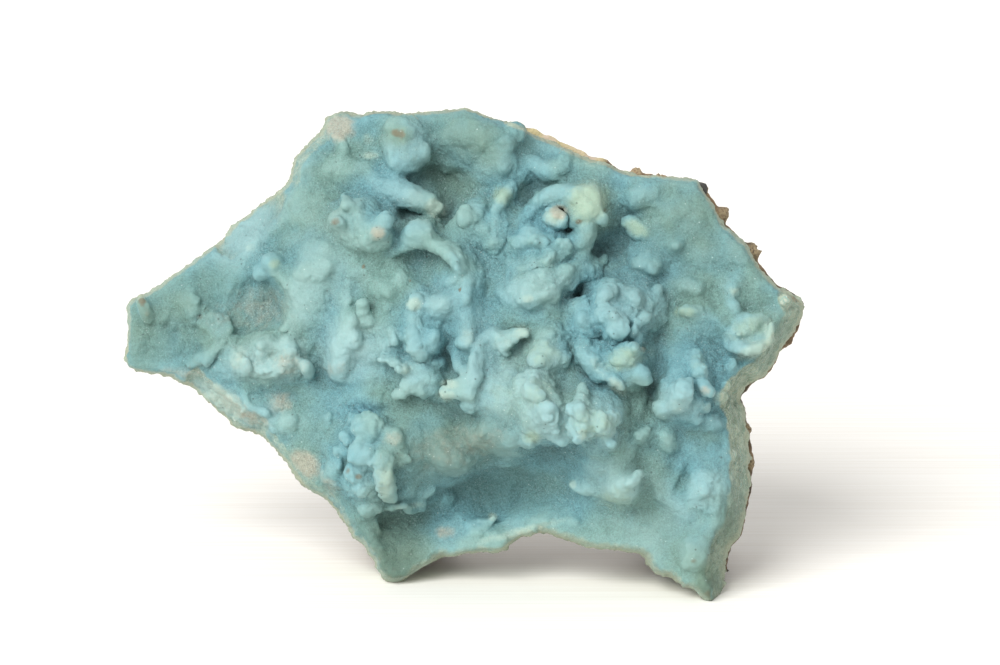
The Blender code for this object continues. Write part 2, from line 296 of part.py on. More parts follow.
def outline(stand_proud):
    """The edge as one closed list of across, up and broken width, moved out by the rock's share."""
    points, bands, shares = [], [], []
    for _, band, proud, stretch in EDGE:
        points += stretch
        bands += [band] * len(stretch)
        shares += [proud] * len(stretch)
    points = np.array(points, float)
    along = np.roll(points, -1, 0) - np.roll(points, 1, 0)
    outward = np.stack([-along[:, 1], along[:, 0]], 1) / np.linalg.norm(along, axis=1)[:, None]
    moved = points + outward * np.array(shares)[:, None] * stand_proud
    return np.column_stack([moved, bands])


def edge_distance(a, b):
    """How far each place is from the edge, and the width of the broken face beside it."""
    ring = outline(0.0)
    nearest = np.full(a.shape, np.inf)
    band = np.zeros(a.shape)
    for start, end in zip(ring, np.roll(ring, -1, 0)):
        step = end[:2] - start[:2]
        share = ((a - start[0]) * step[0] + (b - start[1]) * step[1]) / (step @ step)
        share = np.clip(share, 0, 1)
        distance = np.hypot(a - start[0] - share * step[0], b - start[1] - share * step[1])
        closer = distance < nearest
        nearest = np.where(closer, distance, nearest)
        band = np.where(closer, start[2] + share * (end[2] - start[2]), band)
    return nearest, band


def rock_line(a, b):
    """Height of the face between crust and rock: nearly flat, and dished a little in the middle."""
    return ROCK_TURN * a - ROCK_START - ROCK_DISH[5] * np.exp(-ellipse(a, b, ROCK_DISH))


def terraces(a, b):
    """Height of the ground that rises beside each ledge line and falls away again behind it."""
    a, b = np.asarray(a, float), np.asarray(b, float)
    height = np.zeros(a.shape)
    for rise, reach, width, line in LEDGES:
        nearest = np.full(a.shape, np.inf)
        side = np.zeros(a.shape)
        place = np.zeros(a.shape)
        for number, (start, end) in enumerate(zip(line, line[1:])):
            step = (end[0] - start[0], end[1] - start[1])
            length = math.hypot(*step)
            share = np.clip(((a - start[0]) * step[0] + (b - start[1]) * step[1]) / length**2, 0, 1)
            distance = np.hypot(a - start[0] - share * step[0], b - start[1] - share * step[1])
            cross = step[0] * (b - start[1]) - step[1] * (a - start[0])
            closer = distance < nearest
            nearest = np.where(closer, distance, nearest)
            side = np.where(closer, np.sign(cross), side)
            place = np.where(closer, (number + share) / (len(line) - 1), place)
        signed = nearest * side
        step_up = 1 / (1 + np.exp(-3 * signed / width))
        fade = np.sin(np.pi * np.clip(place, 0.02, 0.98)) ** 0.5
        height = height + rise * step_up * fade * np.exp(-((np.maximum(signed, 0) / reach) ** 2))
    return height


def bare_face(a, b):
    """Height of the crust without its knobs and stems."""
    height = FACE_TURN * a + terraces(a, b)
    for spot in SWELLS:
        height = height + spot[5] * np.exp(-ellipse(a, b, spot))
    lump = np.zeros(np.shape(a))
    for spot in LUMPS:
        lump = np.maximum(lump, spot[5] * np.clip(1 - ellipse(a, b, spot), 0, 1) ** 0.8)
    return height + lump


def face(a, b):
    """Height of the crust, with a skirt round each knob and its edges broken away."""
    height = bare_face(a, b)
    skirt = np.zeros(a.shape)
    for across, up, radius, out in KNOBS:
        spread = SKIRT * radius
        neck = 0.2 * radius + 0.85 * out
        skirt = np.maximum(skirt, neck * np.exp(-ellipse(a, b, (across, up, spread, spread, 0))))
    height = np.maximum(height + skirt, rock_line(a, b) + LEAST_CRUST)
    distance, band = edge_distance(a, b)
    share = np.clip(distance / band, 0, 1)
    slanted = np.clip(band - SLANTING, 0, 1)
    slope = SLANT_FOOT + (1 - SLANT_FOOT) * share
    curve = ROUND_FOOT + (1 - ROUND_FOOT) * np.sqrt(1 - (1 - share) ** 2)
    profile = slanted * slope + (1 - slanted) * curve
    return rock_line(a, b) + (height - rock_line(a, b)) * profile


def bumps(points):
    """Height of the broad bumps of the crust, which fade towards its edge."""
    a, b = points[:, 0], points[:, 1]
    amount = np.full(a.shape, RUGGED_FLOOR)
    for spot in RUGGED:
        amount = np.maximum(amount, spot[5] * np.exp(-(ellipse(a, b, spot) ** 1.5)))
    distance, _ = edge_distance(a, b)
    wave = np.array([noise.noise(Vector((u, v, 0)) / BUMP_SIZE) for u, v in zip(a, b)])
    return np.abs(wave) * BUMP_HEIGHT * amount * np.clip(distance / BUMP_FADE, 0, 1)


def rock_back(a, b):
    """Height of the back of the rock."""
    depth = np.zeros(a.shape)
    for spot in HEELS:
        depth = depth + spot[5] * np.exp(-ellipse(a, b, spot))
    distance, _ = edge_distance(a, b)
    inward = np.clip(distance / ROCK_TAPER, 0, 1)
    return rock_line(a, b) - ROCK_EDGE - depth * np.sin(inward * math.pi / 2)


def upright(a, b, c):
    """The face frame turned into the upright one, in millimetres."""
    return np.stack([
        a,
        b * math.sin(LEAN) - c * math.cos(LEAN),
        b * math.cos(LEAN) + c * math.sin(LEAN) - TOE_DROP,
    ], -1)


def sole(x, y):
    """The lowest that the underside comes at a place: under the floor only where it touches."""
    touch = np.zeros(x.shape)
    for across, back, wide, deep in CONTACTS:
        touch = np.maximum(touch, np.exp(-(ellipse(x, y, (across, back, wide, deep, 0)) ** 2)))
    middle, wide, lift = ARCH
    clear = SOLE_LIFT + lift * np.exp(-((x - middle) / wide) ** 8)
    return clear - (clear + 0.6) * touch


def coordinates(mesh):
    """A mesh's vertices as an array."""
    flat = np.empty(len(mesh.vertices) * 3)
    mesh.vertices.foreach_get("co", flat)
    return flat.reshape(-1, 3)


def set_coordinates(mesh, points):
    mesh.vertices.foreach_set("co", points.ravel())
    mesh.update()


def add_object(name, data, collection):
    made = bpy.data.objects.new(name, data)
    collection.objects.link(made)
    return made


def baked(source):
    """The evaluated mesh of an object, which is then removed."""
    graph = bpy.context.evaluated_depsgraph_get()
    mesh = bpy.data.meshes.new_from_object(source.evaluated_get(graph))
    bpy.data.objects.remove(source)
    return mesh


def slab(cell, stand_proud, collection):
    """The outline as a flat slab with even cells all over, in the face frame."""
    curve = bpy.data.curves.new("outline", "CURVE")
    curve.dimensions = "2D"
    curve.fill_mode = "BOTH"
    curve.extrude = SLAB / 2
    ring = outline(stand_proud)
    spline = curve.splines.new("POLY")
    spline.points.add(len(ring) - 1)
    for point, (a, b, _) in zip(spline.points, ring):
        point.co = (a, b, 0, 1)
    spline.use_cyclic_u = True
    drawn = add_object("outline", curve, collection)
    solid = add_object("slab", baked(drawn), collection)
    even = solid.modifiers.new("even cells", "REMESH")
    even.mode = "VOXEL"
    even.voxel_size = cell
    return baked(solid)


def pushed_out(mesh, low, high):
    """The slab's two sides moved to the heights low and high, and everything between in proportion."""
    points = coordinates(mesh)
    a, b = points[:, 0], points[:, 1]
    share = np.clip(points[:, 2] / SLAB + 0.5, 0, 1)
    points[:, 2] = low(a, b) * (1 - share) + high(a, b) * share
    set_coordinates(mesh, points)


def add_ball(shape, a, b, c, radius):
    ball = bmesh.ops.create_icosphere(shape, subdivisions=2, radius=radius)
    bmesh.ops.translate(shape, vec=(a, b, c), verts=ball["verts"])


def knobs_mesh():
    """Every knob, and a round end for every stem, as balls in the face frame."""
    shape = bmesh.new()
    for across, up, radius, out in KNOBS:
        add_ball(shape, across, up, float(bare_face(across, up)) + out, radius)
    for stem in STEMS:
        for across, up, out, radius in (stem[0], stem[-1]):
            add_ball(shape, across, up, float(bare_face(across, up)) + out, radius)
    mesh = bpy.data.meshes.new("knobs")
    shape.to_mesh(mesh)
    shape.free()
    return mesh


def stems_mesh(collection):
    """Every stem as a tube with a radius of its own at each point, in the face frame."""
    curve = bpy.data.curves.new("stems", "CURVE")
    curve.dimensions = "3D"
    curve.bevel_depth = 1.0
    curve.bevel_resolution = 3
    curve.resolution_u = 5
    curve.use_fill_caps = True
    for stem in STEMS:
        spline = curve.splines.new("BEZIER")
        spline.bezier_points.add(len(stem) - 1)
        for point, (across, up, out, radius) in zip(spline.bezier_points, stem):
            point.co = (across, up, float(bare_face(across, up)) + out)
            point.handle_left_type = point.handle_right_type = "AUTO"
            point.radius = radius
    return baked(add_object("stems", curve, collection))


def joined(meshes):
    """Several meshes as one, not yet fused."""
    shape = bmesh.new()
    for mesh in meshes:
        shape.from_mesh(mesh)
        bpy.data.meshes.remove(mesh)
    mesh = bpy.data.meshes.new("joined")
    shape.to_mesh(mesh)
    shape.free()
    return mesh


def roughen(mesh, depth):
    """Makes the broken edges and the back uneven, and leaves the line between crust and rock alone."""
    points = coordinates(mesh)
    shift = np.array([noise.turbulence_vector(Vector(point) / ROUGH_SIZE, 3, False) for point in points])
    under = np.clip((rock_line(points[:, 0], points[:, 1]) - points[:, 2] - 1) / 3, 0, 1)
    points[:, :2] += shift[:, :2] * EDGE_ROUGH
    points[:, 2] += shift[:, 2] * depth * under
    set_coordinates(mesh, points)


def warped(mesh):
    """Moves the front of a mesh by soft noise, less towards the broken edge."""
    points = coordinates(mesh)
    distance, _ = edge_distance(points[:, 0], points[:, 1])
    front = np.clip((points[:, 2] - rock_line(points[:, 0], points[:, 1]) - 1) / 2, 0, 1)
    inner = np.clip(distance / 3, 0.3, 1) * front
    for size, reach in WARPS:
        shift = np.array([noise.noise_vector(Vector(point) / size) for point in points])
        points = points + shift * (reach * inner)[:, None]
    set_coordinates(mesh, points)


def stand(mesh):
    """Turns a mesh from the face frame into the upright one and lifts its underside off the floor."""
    points = coordinates(mesh)
    points = upright(points[:, 0], points[:, 1], points[:, 2])
    points[:, 2] = np.maximum(points[:, 2], sole(points[:, 0], points[:, 1]))
    set_coordinates(mesh, points * MM)


def finish(name, mesh, triangles, floor, material, collection):
    """The object of a piece: thinned to its triangles, and cut flat where it stands."""
    made = add_object(name, mesh, collection)
    made.data.name = name
    made.data.materials.clear()
    made.data.materials.append(material)
    made.modifiers.new("triangles", "TRIANGULATE")
    thin = made.modifiers.new("thin", "DECIMATE")
    thin.ratio = triangles / (2 * len(mesh.polygons))
    cut = made.modifiers.new("floor", "BOOLEAN")
    cut.operation = "DIFFERENCE"
    cut.object = floor
    return made


def make_material(name, colour, roughness):
    material = bpy.data.materials.new(name)
    material.use_nodes = True
    shader = material.node_tree.nodes["Principled BSDF"]
    shader.inputs["Base Color"].default_value = colour
    shader.inputs["Roughness"].default_value = roughness
    shader.inputs["Metallic"].default_value = 0.0
    return material


def make_floor(collection):
    """A block under the floor's level, which cuts the feet flat."""
    bpy.ops.mesh.primitive_cube_add(size=1)
    block = bpy.context.object
    block.name = "floor_cutter"
    block.scale = (FLOOR_BLOCK, FLOOR_BLOCK, FLOOR_DEPTH)
    block.location = (0, 0, -FLOOR_DEPTH / 2)
    block.hide_render = True
    block.display_type = "WIRE"
    for holder in list(block.users_collection):
        holder.objects.unlink(block)
    collection.objects.link(block)
    return block


def make_crust(floor, collection, cutters):
    plate = slab(SLAB_CELL, 0.0, cutters)
    rise = bumps(coordinates(plate))
    pushed_out(plate, lambda a, b: rock_line(a, b) + GAP / 2, lambda a, b: face(a, b) + rise)
    roughen(plate, 0.0)
    solid = add_object("crust", joined([plate, knobs_mesh(), stems_mesh(cutters)]), cutters)
    fuse = solid.modifiers.new("fuse", "REMESH")
    fuse.mode = "VOXEL"
    fuse.voxel_size = FUSE_CELL
    soften = solid.modifiers.new("soften", "SMOOTH")
    soften.factor = 0.5
    soften.iterations = 2
    mesh = baked(solid)
    warped(mesh)
    stand(mesh)
    material = make_material("aragonite", CRUST_COLOUR, 0.75)
    return finish("aragonite_crust", mesh, CRUST_TRIANGLES, floor, material, collection)


def make_rock(floor, collection, cutters):
    mesh = slab(ROCK_CELL, 1.0, cutters)
    pushed_out(mesh, rock_back, lambda a, b: rock_line(a, b) - GAP / 2)
    roughen(mesh, BACK_ROUGH)
    stand(mesh)
    material = make_material("rock", ROCK_COLOUR, 0.9)
    return finish("matrix_rock", mesh, ROCK_TRIANGLES, floor, material, collection)


def centre(pieces):
    """Moves the pieces so that the specimen's box stands over the origin."""
    graph = bpy.context.evaluated_depsgraph_get()
    corners = np.array([
        piece.matrix_world @ Vector(corner)
        for piece in pieces
        for corner in piece.evaluated_get(graph).bound_box
    ])
    middle = (corners.min(0) + corners.max(0)) / 2
    for piece in pieces:
        piece.location = (-middle[0], -middle[1], 0)


def main():
    for old in list(bpy.data.objects):
        bpy.data.objects.remove(old)
    noise.seed_set(NOISE_SEED)
    specimen = bpy.data.collections.new("aragonite")
    cutters = bpy.data.collections.new("cutters")
    for collection in (specimen, cutters):
        bpy.context.scene.collection.children.link(collection)
    floor = make_floor(cutters)
    pieces = [make_crust(floor, specimen, cutters), make_rock(floor, specimen, cutters)]
    centre(pieces)


main()
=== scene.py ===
"""The looks of a blue aragonite specimen that stands on two feet and two heels.

The order is that of the real thing: the rusty rock, the blue crust that grew on it, the floor, the light.
Both pieces are drawn in the frame of the specimen's own face, in millimetres: a runs across it, b up it
and c out of it, towards the viewer. The last step of each turns it upright, in metres.

A spot is a row of across, up, half width, half height and amount, and its turn in degrees if it has one.
A noise is a row of the size of its lumps, octaves, seed, and how far it moves the surface.
"""

import math

import bmesh
import bpy
import numpy as np
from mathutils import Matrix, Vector, noise


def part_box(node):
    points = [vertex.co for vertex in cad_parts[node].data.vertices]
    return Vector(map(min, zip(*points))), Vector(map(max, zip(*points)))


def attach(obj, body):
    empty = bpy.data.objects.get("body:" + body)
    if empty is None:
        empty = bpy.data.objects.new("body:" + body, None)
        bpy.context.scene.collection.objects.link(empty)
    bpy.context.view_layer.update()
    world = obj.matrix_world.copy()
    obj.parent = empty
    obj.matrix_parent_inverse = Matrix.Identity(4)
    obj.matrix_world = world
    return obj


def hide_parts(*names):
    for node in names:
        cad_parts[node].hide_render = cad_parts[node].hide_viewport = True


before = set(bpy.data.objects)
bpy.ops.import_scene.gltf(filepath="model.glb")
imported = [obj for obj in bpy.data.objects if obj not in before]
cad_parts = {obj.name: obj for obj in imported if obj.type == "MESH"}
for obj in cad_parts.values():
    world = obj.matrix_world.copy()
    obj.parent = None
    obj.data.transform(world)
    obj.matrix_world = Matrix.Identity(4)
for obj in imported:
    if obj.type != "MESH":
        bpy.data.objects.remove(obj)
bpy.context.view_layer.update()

# The rock that the crust grew on: a thin plate of rusty stone with two heels at the back that it leans on.
# Only its brown rim shows from the front. It is a flat slab of the specimen's outline, pushed out of shape
# by height, with dents from noise.

MM = 0.001
LEAN = math.radians(14)
TOE_DROP = 1.67  # the face frame's zero is this far under the floor
SLAB = 10.0  # thickness of the flat slab that a piece is pushed out of
ROCK_CELL = 0.6
ROCK_EDGE = 2.0  # thickness of the rock at its edge
ROCK_TAPER = 3.5  # how far in from the edge it reaches its full depth
ROCK_OVERLAP = 0.3  # how far it reaches into the crust
CRUST_TILT = 0.12  # the face between crust and rock rises by this share of the way across
CRUST_BACK = -9.0
DISH = (5, 20, 40, 30, -1.5)

ROCK_CRUMBS = (1.2, 2, 3.0, 0.22)
ROCK_DENTS = (5.0, 4, 0.0, 1.3)
ROCK_ACROSS = (3.0, 3, 7.0, 0.45)
ROCK_UPWARD = (3.0, 3, 11.0, 0.45)
NOISE_SEED = 3

# The broken edge, stretch by stretch and clockwise from the left tip. Each has the width of the
# slanting broken face that shows beside it, how far the rock stands proud of it, and its points.
EDGE = {
    "left tip": (1.2, -0.6, [
        (-53.9, 37.4), (-54.6, 38.5), (-54.1, 41), (-53.9, 43.8), (-54, 47), (-53.2, 48), (-51.8, 48.5)]),
    "upper left": (1.1, -0.3, [
        (-49, 50.1), (-46.5, 52), (-43, 54.3), (-40.5, 56.3)]),
    "pale facet": (3.6, -0.6, [
        (-39, 57.2), (-37.5, 59.3), (-36.3, 60.7), (-34.8, 61.3), (-33.3, 62.9), (-31.5, 64.1)]),
    "above the facet": (1.4, -0.6, [
        (-28.6, 65.9)]),
    "left shoulder": (1.8, -1, [
        (-27.7, 67.2), (-27.5, 69), (-27.1, 70.7), (-25.2, 72.5), (-24.3, 73.6), (-22.6, 74.7),
        (-22.2, 75.8), (-22, 77), (-20.8, 77.6), (-19.2, 78.1)]),
    "top": (1, 0, [
        (-17.6, 77.5), (-16.3, 77.5), (-15, 78.1), (-12, 78.2), (-10.8, 77.8), (-8.6, 77.6), (-6, 77.9),
        (-2.5, 78.1), (0.2, 78.6), (1.5, 78.2), (3, 77.5), (5, 76.9), (6.4, 76.5), (8.6, 75.6)]),
    "flake": (0.8, 1, [
        (10.5, 74.6), (12.5, 73.6), (14.5, 72.9), (17, 71.6), (20, 70.2), (22.3, 69.8)]),
    "upper right": (1, 0.3, [
        (24, 69), (26, 68.2), (29, 67.8), (33, 67.4), (36, 67.1), (37.1, 67.2)]),
    "right slope": (1.2, 0.6, [
        (37.6, 66.1), (38.9, 64), (40, 62.3), (40.6, 60.8), (41.1, 59.8), (42.3, 59), (43.5, 57.8),
        (45, 56.4), (45.9, 54.7), (46.9, 53), (48.3, 51.4), (49.8, 49.9)]),
    "right point": (3, 0.5, [
        (51.9, 49), (53.1, 48), (54.1, 47.3), (53.8, 45.7), (53, 43.8), (51.9, 41.7), (50.3, 40),
        (49.7, 38.5), (48.8, 37.1), (47.7, 35.8), (46.4, 35.3), (45.3, 34.6), (44.2, 33.6)]),
    "right edge": (3.4, 0.5, [
        (43.7, 32.2), (44.5, 30.6), (44.9, 28.5), (45.1, 26.5), (45.3, 24.3), (45.6, 22.7), (45.3, 21.2),
        (45.4, 19.8), (45.7, 18.1), (45.1, 16.4), (44.9, 14.5), (44.6, 12.5), (43.9, 10.3), (42.7, 9.2),
        (42, 7.3), (41.6, 5.5), (41.5, 3.7), (41.8, 2.2), (41, 0.6)]),
    "right foot": (1, -1, [
        (39.6, -0.4), (38.5, 0.2), (37.2, 1.2), (36, 2.1), (34.8, 2.3), (33.8, 3.4), (33, 4.1), (31.5, 4.3),
        (30.2, 5), (29.5, 5.8), (29.2, 7.2), (28.5, 7.5)]),
    "arch": (1, -2, [
        (26.5, 7.9), (24, 8.3), (20.5, 8.6), (18.5, 9.2), (17, 9.8), (15, 10.2), (13.5, 10.9), (12.3, 11),
        (11, 10.4), (9.5, 10.2), (7.8, 9.4), (6.8, 8.3), (6, 7.7), (4, 7.6), (2, 7.6), (0, 7.3), (-2.5, 7),
        (-3.5, 7.2), (-4.7, 6.8), (-5.5, 5.7), (-6.5, 5.4), (-7.5, 5), (-8.7, 3.4)]),
    "left foot": (1.6, -1, [
        (-10, 2.8), (-11, 2.5), (-12.3, 2.8), (-13, 3.6), (-14, 4.9), (-14.2, 6.2), (-15.3, 7.7),
        (-16.5, 9.1), (-17.8, 9.8), (-18.2, 11), (-19.5, 12.8), (-20.5, 14.5)]),
    "lower left": (1.7, -1.8, [
        (-21.5, 15.6), (-23.5, 17), (-25.5, 18.1), (-27, 20.2), (-28.1, 21.6), (-29.5, 23.3), (-31, 25),
        (-32, 25.9)]),
    "pink fracture": (3.2, -2.2, [
        (-33.5, 26.9), (-35.5, 27.1), (-37.2, 27.7), (-38.3, 29.3), (-40, 30.6), (-41.5, 31.9),
        (-42.6, 33.2), (-44, 34.4)]),
    "under the wing": (1.2, -1.8, [
        (-45.5, 34.9), (-46.9, 36), (-50, 36.3), (-52.8, 36.7)]),
}

# Bulges on the back.
HEELS = [
    (-9.5, 5, 7.5, 17, 24, -4), (37, 5, 8, 18, 25, 4), (4, 44, 26, 17, 7, 5), (-22, 50, 12, 9, 3.5, 30),
    (26, 46, 12, 10, 4.5, -20),
]

# Grains of rock that stick out past the crust: across, up, radius, how far out.
GRAINS = [
    (40.9, 61.4, 1.3, 1.3), (46.4, 55.8, 1.4, 1.2), (27.6, 68.3, 0.9, 0.25), (31.4, 67.8, 0.9, 0.2),
    (38.3, 65.6, 1.2, 0.5), (45.6, 22, 1.2, 0.6), (45.2, 27.5, 1, 0.5),
]
GRAIN_CRUMBS = 3.64  # how much rougher a grain is than the rock round it

STRAW = (16.3, 72.6, 7.2, 3, 1, -22)
SOOT = [(37.8, 66, 1.6, 2.2, 1), (53.3, 48.2, 2, 1.6, 1)]

# Where the specimen touches the floor: spots across and back in the upright frame.
CONTACTS = [
    (39.6, -4.6, 2.4, 3.8, 1), (-11.2, 7.6, 2.8, 4.4, 1), (-9, 30, 4.5, 5, 1), (37, 30, 4.5, 5.5, 1),
]
SOLE_LIFT = 1.7  # how far the rest of the underside stays off the floor
SOLE_DEPTH = 0.6  # how far a contact would reach under the floor, were it not cut flat there
ARCH = (12.5, 15.5, 3.1)  # the arch: its middle, its half width, and how much higher it clears the floor

ROCK_TINTS = {
    "umber": (0.10, 0.075, 0.05),
    "brown": (0.25, 0.17, 0.10),
    "ochre": (0.42, 0.33, 0.21),
    "black": (0.035, 0.03, 0.028),
    "grain": (0.38, 0.30, 0.18),
    "straw": (0.50, 0.43, 0.24),
    "flesh": (0.56, 0.45, 0.36),
    "soot": (0.07, 0.068, 0.062),
}

noise.seed_set(NOISE_SEED)


def ramp(value, start, end):
    """0 at the start, 1 at the end and straight between. The start may be the higher one."""
    return np.clip((value - start) / (end - start), 0, 1)


def ellipse(a, b, spot):
    """0 in the middle of a spot and 1 on its ellipse."""
    across, up, wide, tall, _, turn = (*spot, 0)[:6]
    cos, sin = math.cos(math.radians(turn)), math.sin(math.radians(turn))
    lengthwise = (a - across) * cos + (b - up) * sin
    crosswise = (b - up) * cos - (a - across) * sin
    return (lengthwise / wide) ** 2 + (crosswise / tall) ** 2


def spread(a, b, spot, edge=1.0):
    """A spot's amount, fading from its middle. A higher edge makes the middle flatter."""
    return spot[4] * np.exp(-(ellipse(a, b, spot) ** edge))


def strongest(a, b, spots, edge=1.0):
    """The most that any of the spots gives to each place."""
    return np.max([spread(a, b, spot, edge) for spot in spots], axis=0)


def beside(a, b, line):
    """Distance of each place from a line, how many points along it, and its side, 1 on the left."""
    nearest, place, side = np.full(a.shape, np.inf), np.zeros(a.shape), np.zeros(a.shape)
    for number, (start, end) in enumerate(zip(line, line[1:])):
        step = np.subtract(end, start)
        share = np.clip(((a - start[0]) * step[0] + (b - start[1]) * step[1]) / (step @ step), 0, 1)
        distance = np.hypot(a - start[0] - share * step[0], b - start[1] - share * step[1])
        cross = step[0] * (b - start[1]) - step[1] * (a - start[0])
        closer = distance < nearest
        nearest = np.where(closer, distance, nearest)
        place = np.where(closer, number + share, place)
        side = np.where(closer, np.sign(cross), side)
    return nearest, place, side


def outline(stand_proud):
    """The edge as a ring of across, up and width of the broken face, moved out by the rock's share."""
    rows = [(*point, band, proud) for band, proud, stretch in EDGE.values() for point in stretch]
    points, bands, proud = np.split(np.array(rows, float), (2, 3), axis=1)
    along = np.roll(points, -1, 0) - np.roll(points, 1, 0)
    outward = along[:, ::-1] * (-1, 1) / np.linalg.norm(along, axis=1)[:, None]
    return np.hstack([points + outward * proud * stand_proud, bands])


def edge_distance(a, b):
    """How far each place is from the edge, and the width of the broken face beside it."""
    ring = outline(0.0)
    closed = np.vstack([ring, ring[:1]])
    distance, place, _ = beside(a, b, closed[:, :2])
    return distance, np.interp(place, np.arange(len(closed)), closed[:, 2])


def rock_line(a, b):
    """Height of the face between crust and rock: nearly flat, and dished a little in the middle."""
    return CRUST_BACK + CRUST_TILT * a + spread(a, b, DISH)


def rock_back(a, b):
    """Height of the back of the rock."""
    depth = sum(spread(a, b, spot) for spot in HEELS)
    inward = ramp(edge_distance(a, b)[0], 0, ROCK_TAPER)
    return rock_line(a, b) - ROCK_EDGE - depth * np.sin(inward * math.pi / 2)


def upright(a, b, c):
    """The face frame turned into the upright one, in millimetres."""
    return np.stack([
        a,
        b * math.sin(LEAN) - c * math.cos(LEAN),
        b * math.cos(LEAN) + c * math.sin(LEAN) - TOE_DROP,
    ], -1)


def sole(x, y):
    """The lowest that the underside comes: on the floor where it touches, and over it elsewhere."""
    middle, wide, lift = ARCH
    clear = SOLE_LIFT + lift * np.exp(-((x - middle) / wide) ** 8)
    return np.maximum(clear - (clear + SOLE_DEPTH) * strongest(x, y, CONTACTS, 2), 0)


def coordinates(mesh, name="co"):
    """A mesh's vertices, or their normals, as an array."""
    flat = np.empty(len(mesh.vertices) * 3)
    mesh.vertices.foreach_get(name, flat)
    return flat.reshape(-1, 3)


def set_coordinates(mesh, points):
    mesh.vertices.foreach_set("co", points.ravel())
    mesh.update()


def give(mesh, name, values):
    """Stores one number a vertex for the material."""
    mesh.attributes.new(name, "FLOAT", "POINT").data.foreach_set("value", values.astype(np.float32))


def add_object(name, data):
    made = bpy.data.objects.new(name, data)
    bpy.context.scene.collection.objects.link(made)
    return made


def modify(piece, kind, **settings):
    """Adds a modifier with its settings."""
    made = piece.modifiers.new(kind.lower(), kind)
    for name, value in settings.items():
        setattr(made, name, value)


def baked(source):
    """The evaluated mesh of an object, which is then removed."""
    graph = bpy.context.evaluated_depsgraph_get()
    mesh = bpy.data.meshes.new_from_object(source.evaluated_get(graph))
    bpy.data.objects.remove(source)
    return mesh


def slab(cell, stand_proud):
    """The outline as a flat slab with even cells all over, in the face frame."""
    curve = bpy.data.curves.new("outline", "CURVE")
    curve.dimensions = "2D"
    curve.fill_mode = "BOTH"
    curve.extrude = SLAB / 2
    ring = outline(stand_proud)
    spline = curve.splines.new("POLY")
    spline.points.add(len(ring) - 1)
    for point, (a, b, _) in zip(spline.points, ring):
        point.co = (a, b, 0, 1)
    spline.use_cyclic_u = True
    solid = add_object("slab", baked(add_object("outline", curve)))
    modify(solid, "REMESH", mode="VOXEL", voxel_size=cell)
    return baked(solid)


def pushed_out(mesh, low, high):
    """The slab's two sides moved to the heights low and high, and all between in proportion."""
    points = coordinates(mesh)
    a, b, c = points.T
    share = ramp(c, -SLAB / 2, SLAB / 2)
    points[:, 2] = low(a, b) * (1 - share) + high(a, b) * share
    set_coordinates(mesh, points)


def noise_at(points, layer):
    """One layer of smooth noise, in millimetres."""
    size, octaves, seed, depth = layer
    shift = Vector((seed, 0, 0))
    values = [noise.fractal(Vector(point) / size + shift, 1.0, 2.0, octaves) for point in points]
    return depth * np.array(values)


class Wire:
    """One output of a shader node, which works in Python expressions as a number does."""

    def __init__(self, finish, socket):
        self.finish = finish
        self.socket = socket

    def math(self, operation, *values, clamp=False):
        settings = {"operation": operation, "use_clamp": clamp}
        return self.finish.node("ShaderNodeMath", settings, dict(enumerate(values)))

    def __add__(self, other):
        return self.math("ADD", self, other)

    def __radd__(self, other):
        return self.math("ADD", other, self)

    def __sub__(self, other):
        return self.math("SUBTRACT", self, other)

    def __rsub__(self, other):
        return self.math("SUBTRACT", other, self)

    def __mul__(self, other):
        return self.math("MULTIPLY", self, other)

    def __rmul__(self, other):
        return self.math("MULTIPLY", other, self)

    def held(self):
        """The same, kept between 0 and 1."""
        return self.math("ADD", self, 0.0, clamp=True)

    def swing(self, width):
        """Noise from 0 to 1 turned into a swing of a width about 0."""
        return (self - 0.5) * width

    def step(self, low, high):
        """0 below low, 1 above high, and smooth between."""
        limits = {"Value": self, "From Min": low, "From Max": high}
        return self.finish.node("ShaderNodeMapRange", {"interpolation_type": "SMOOTHSTEP"}, limits)


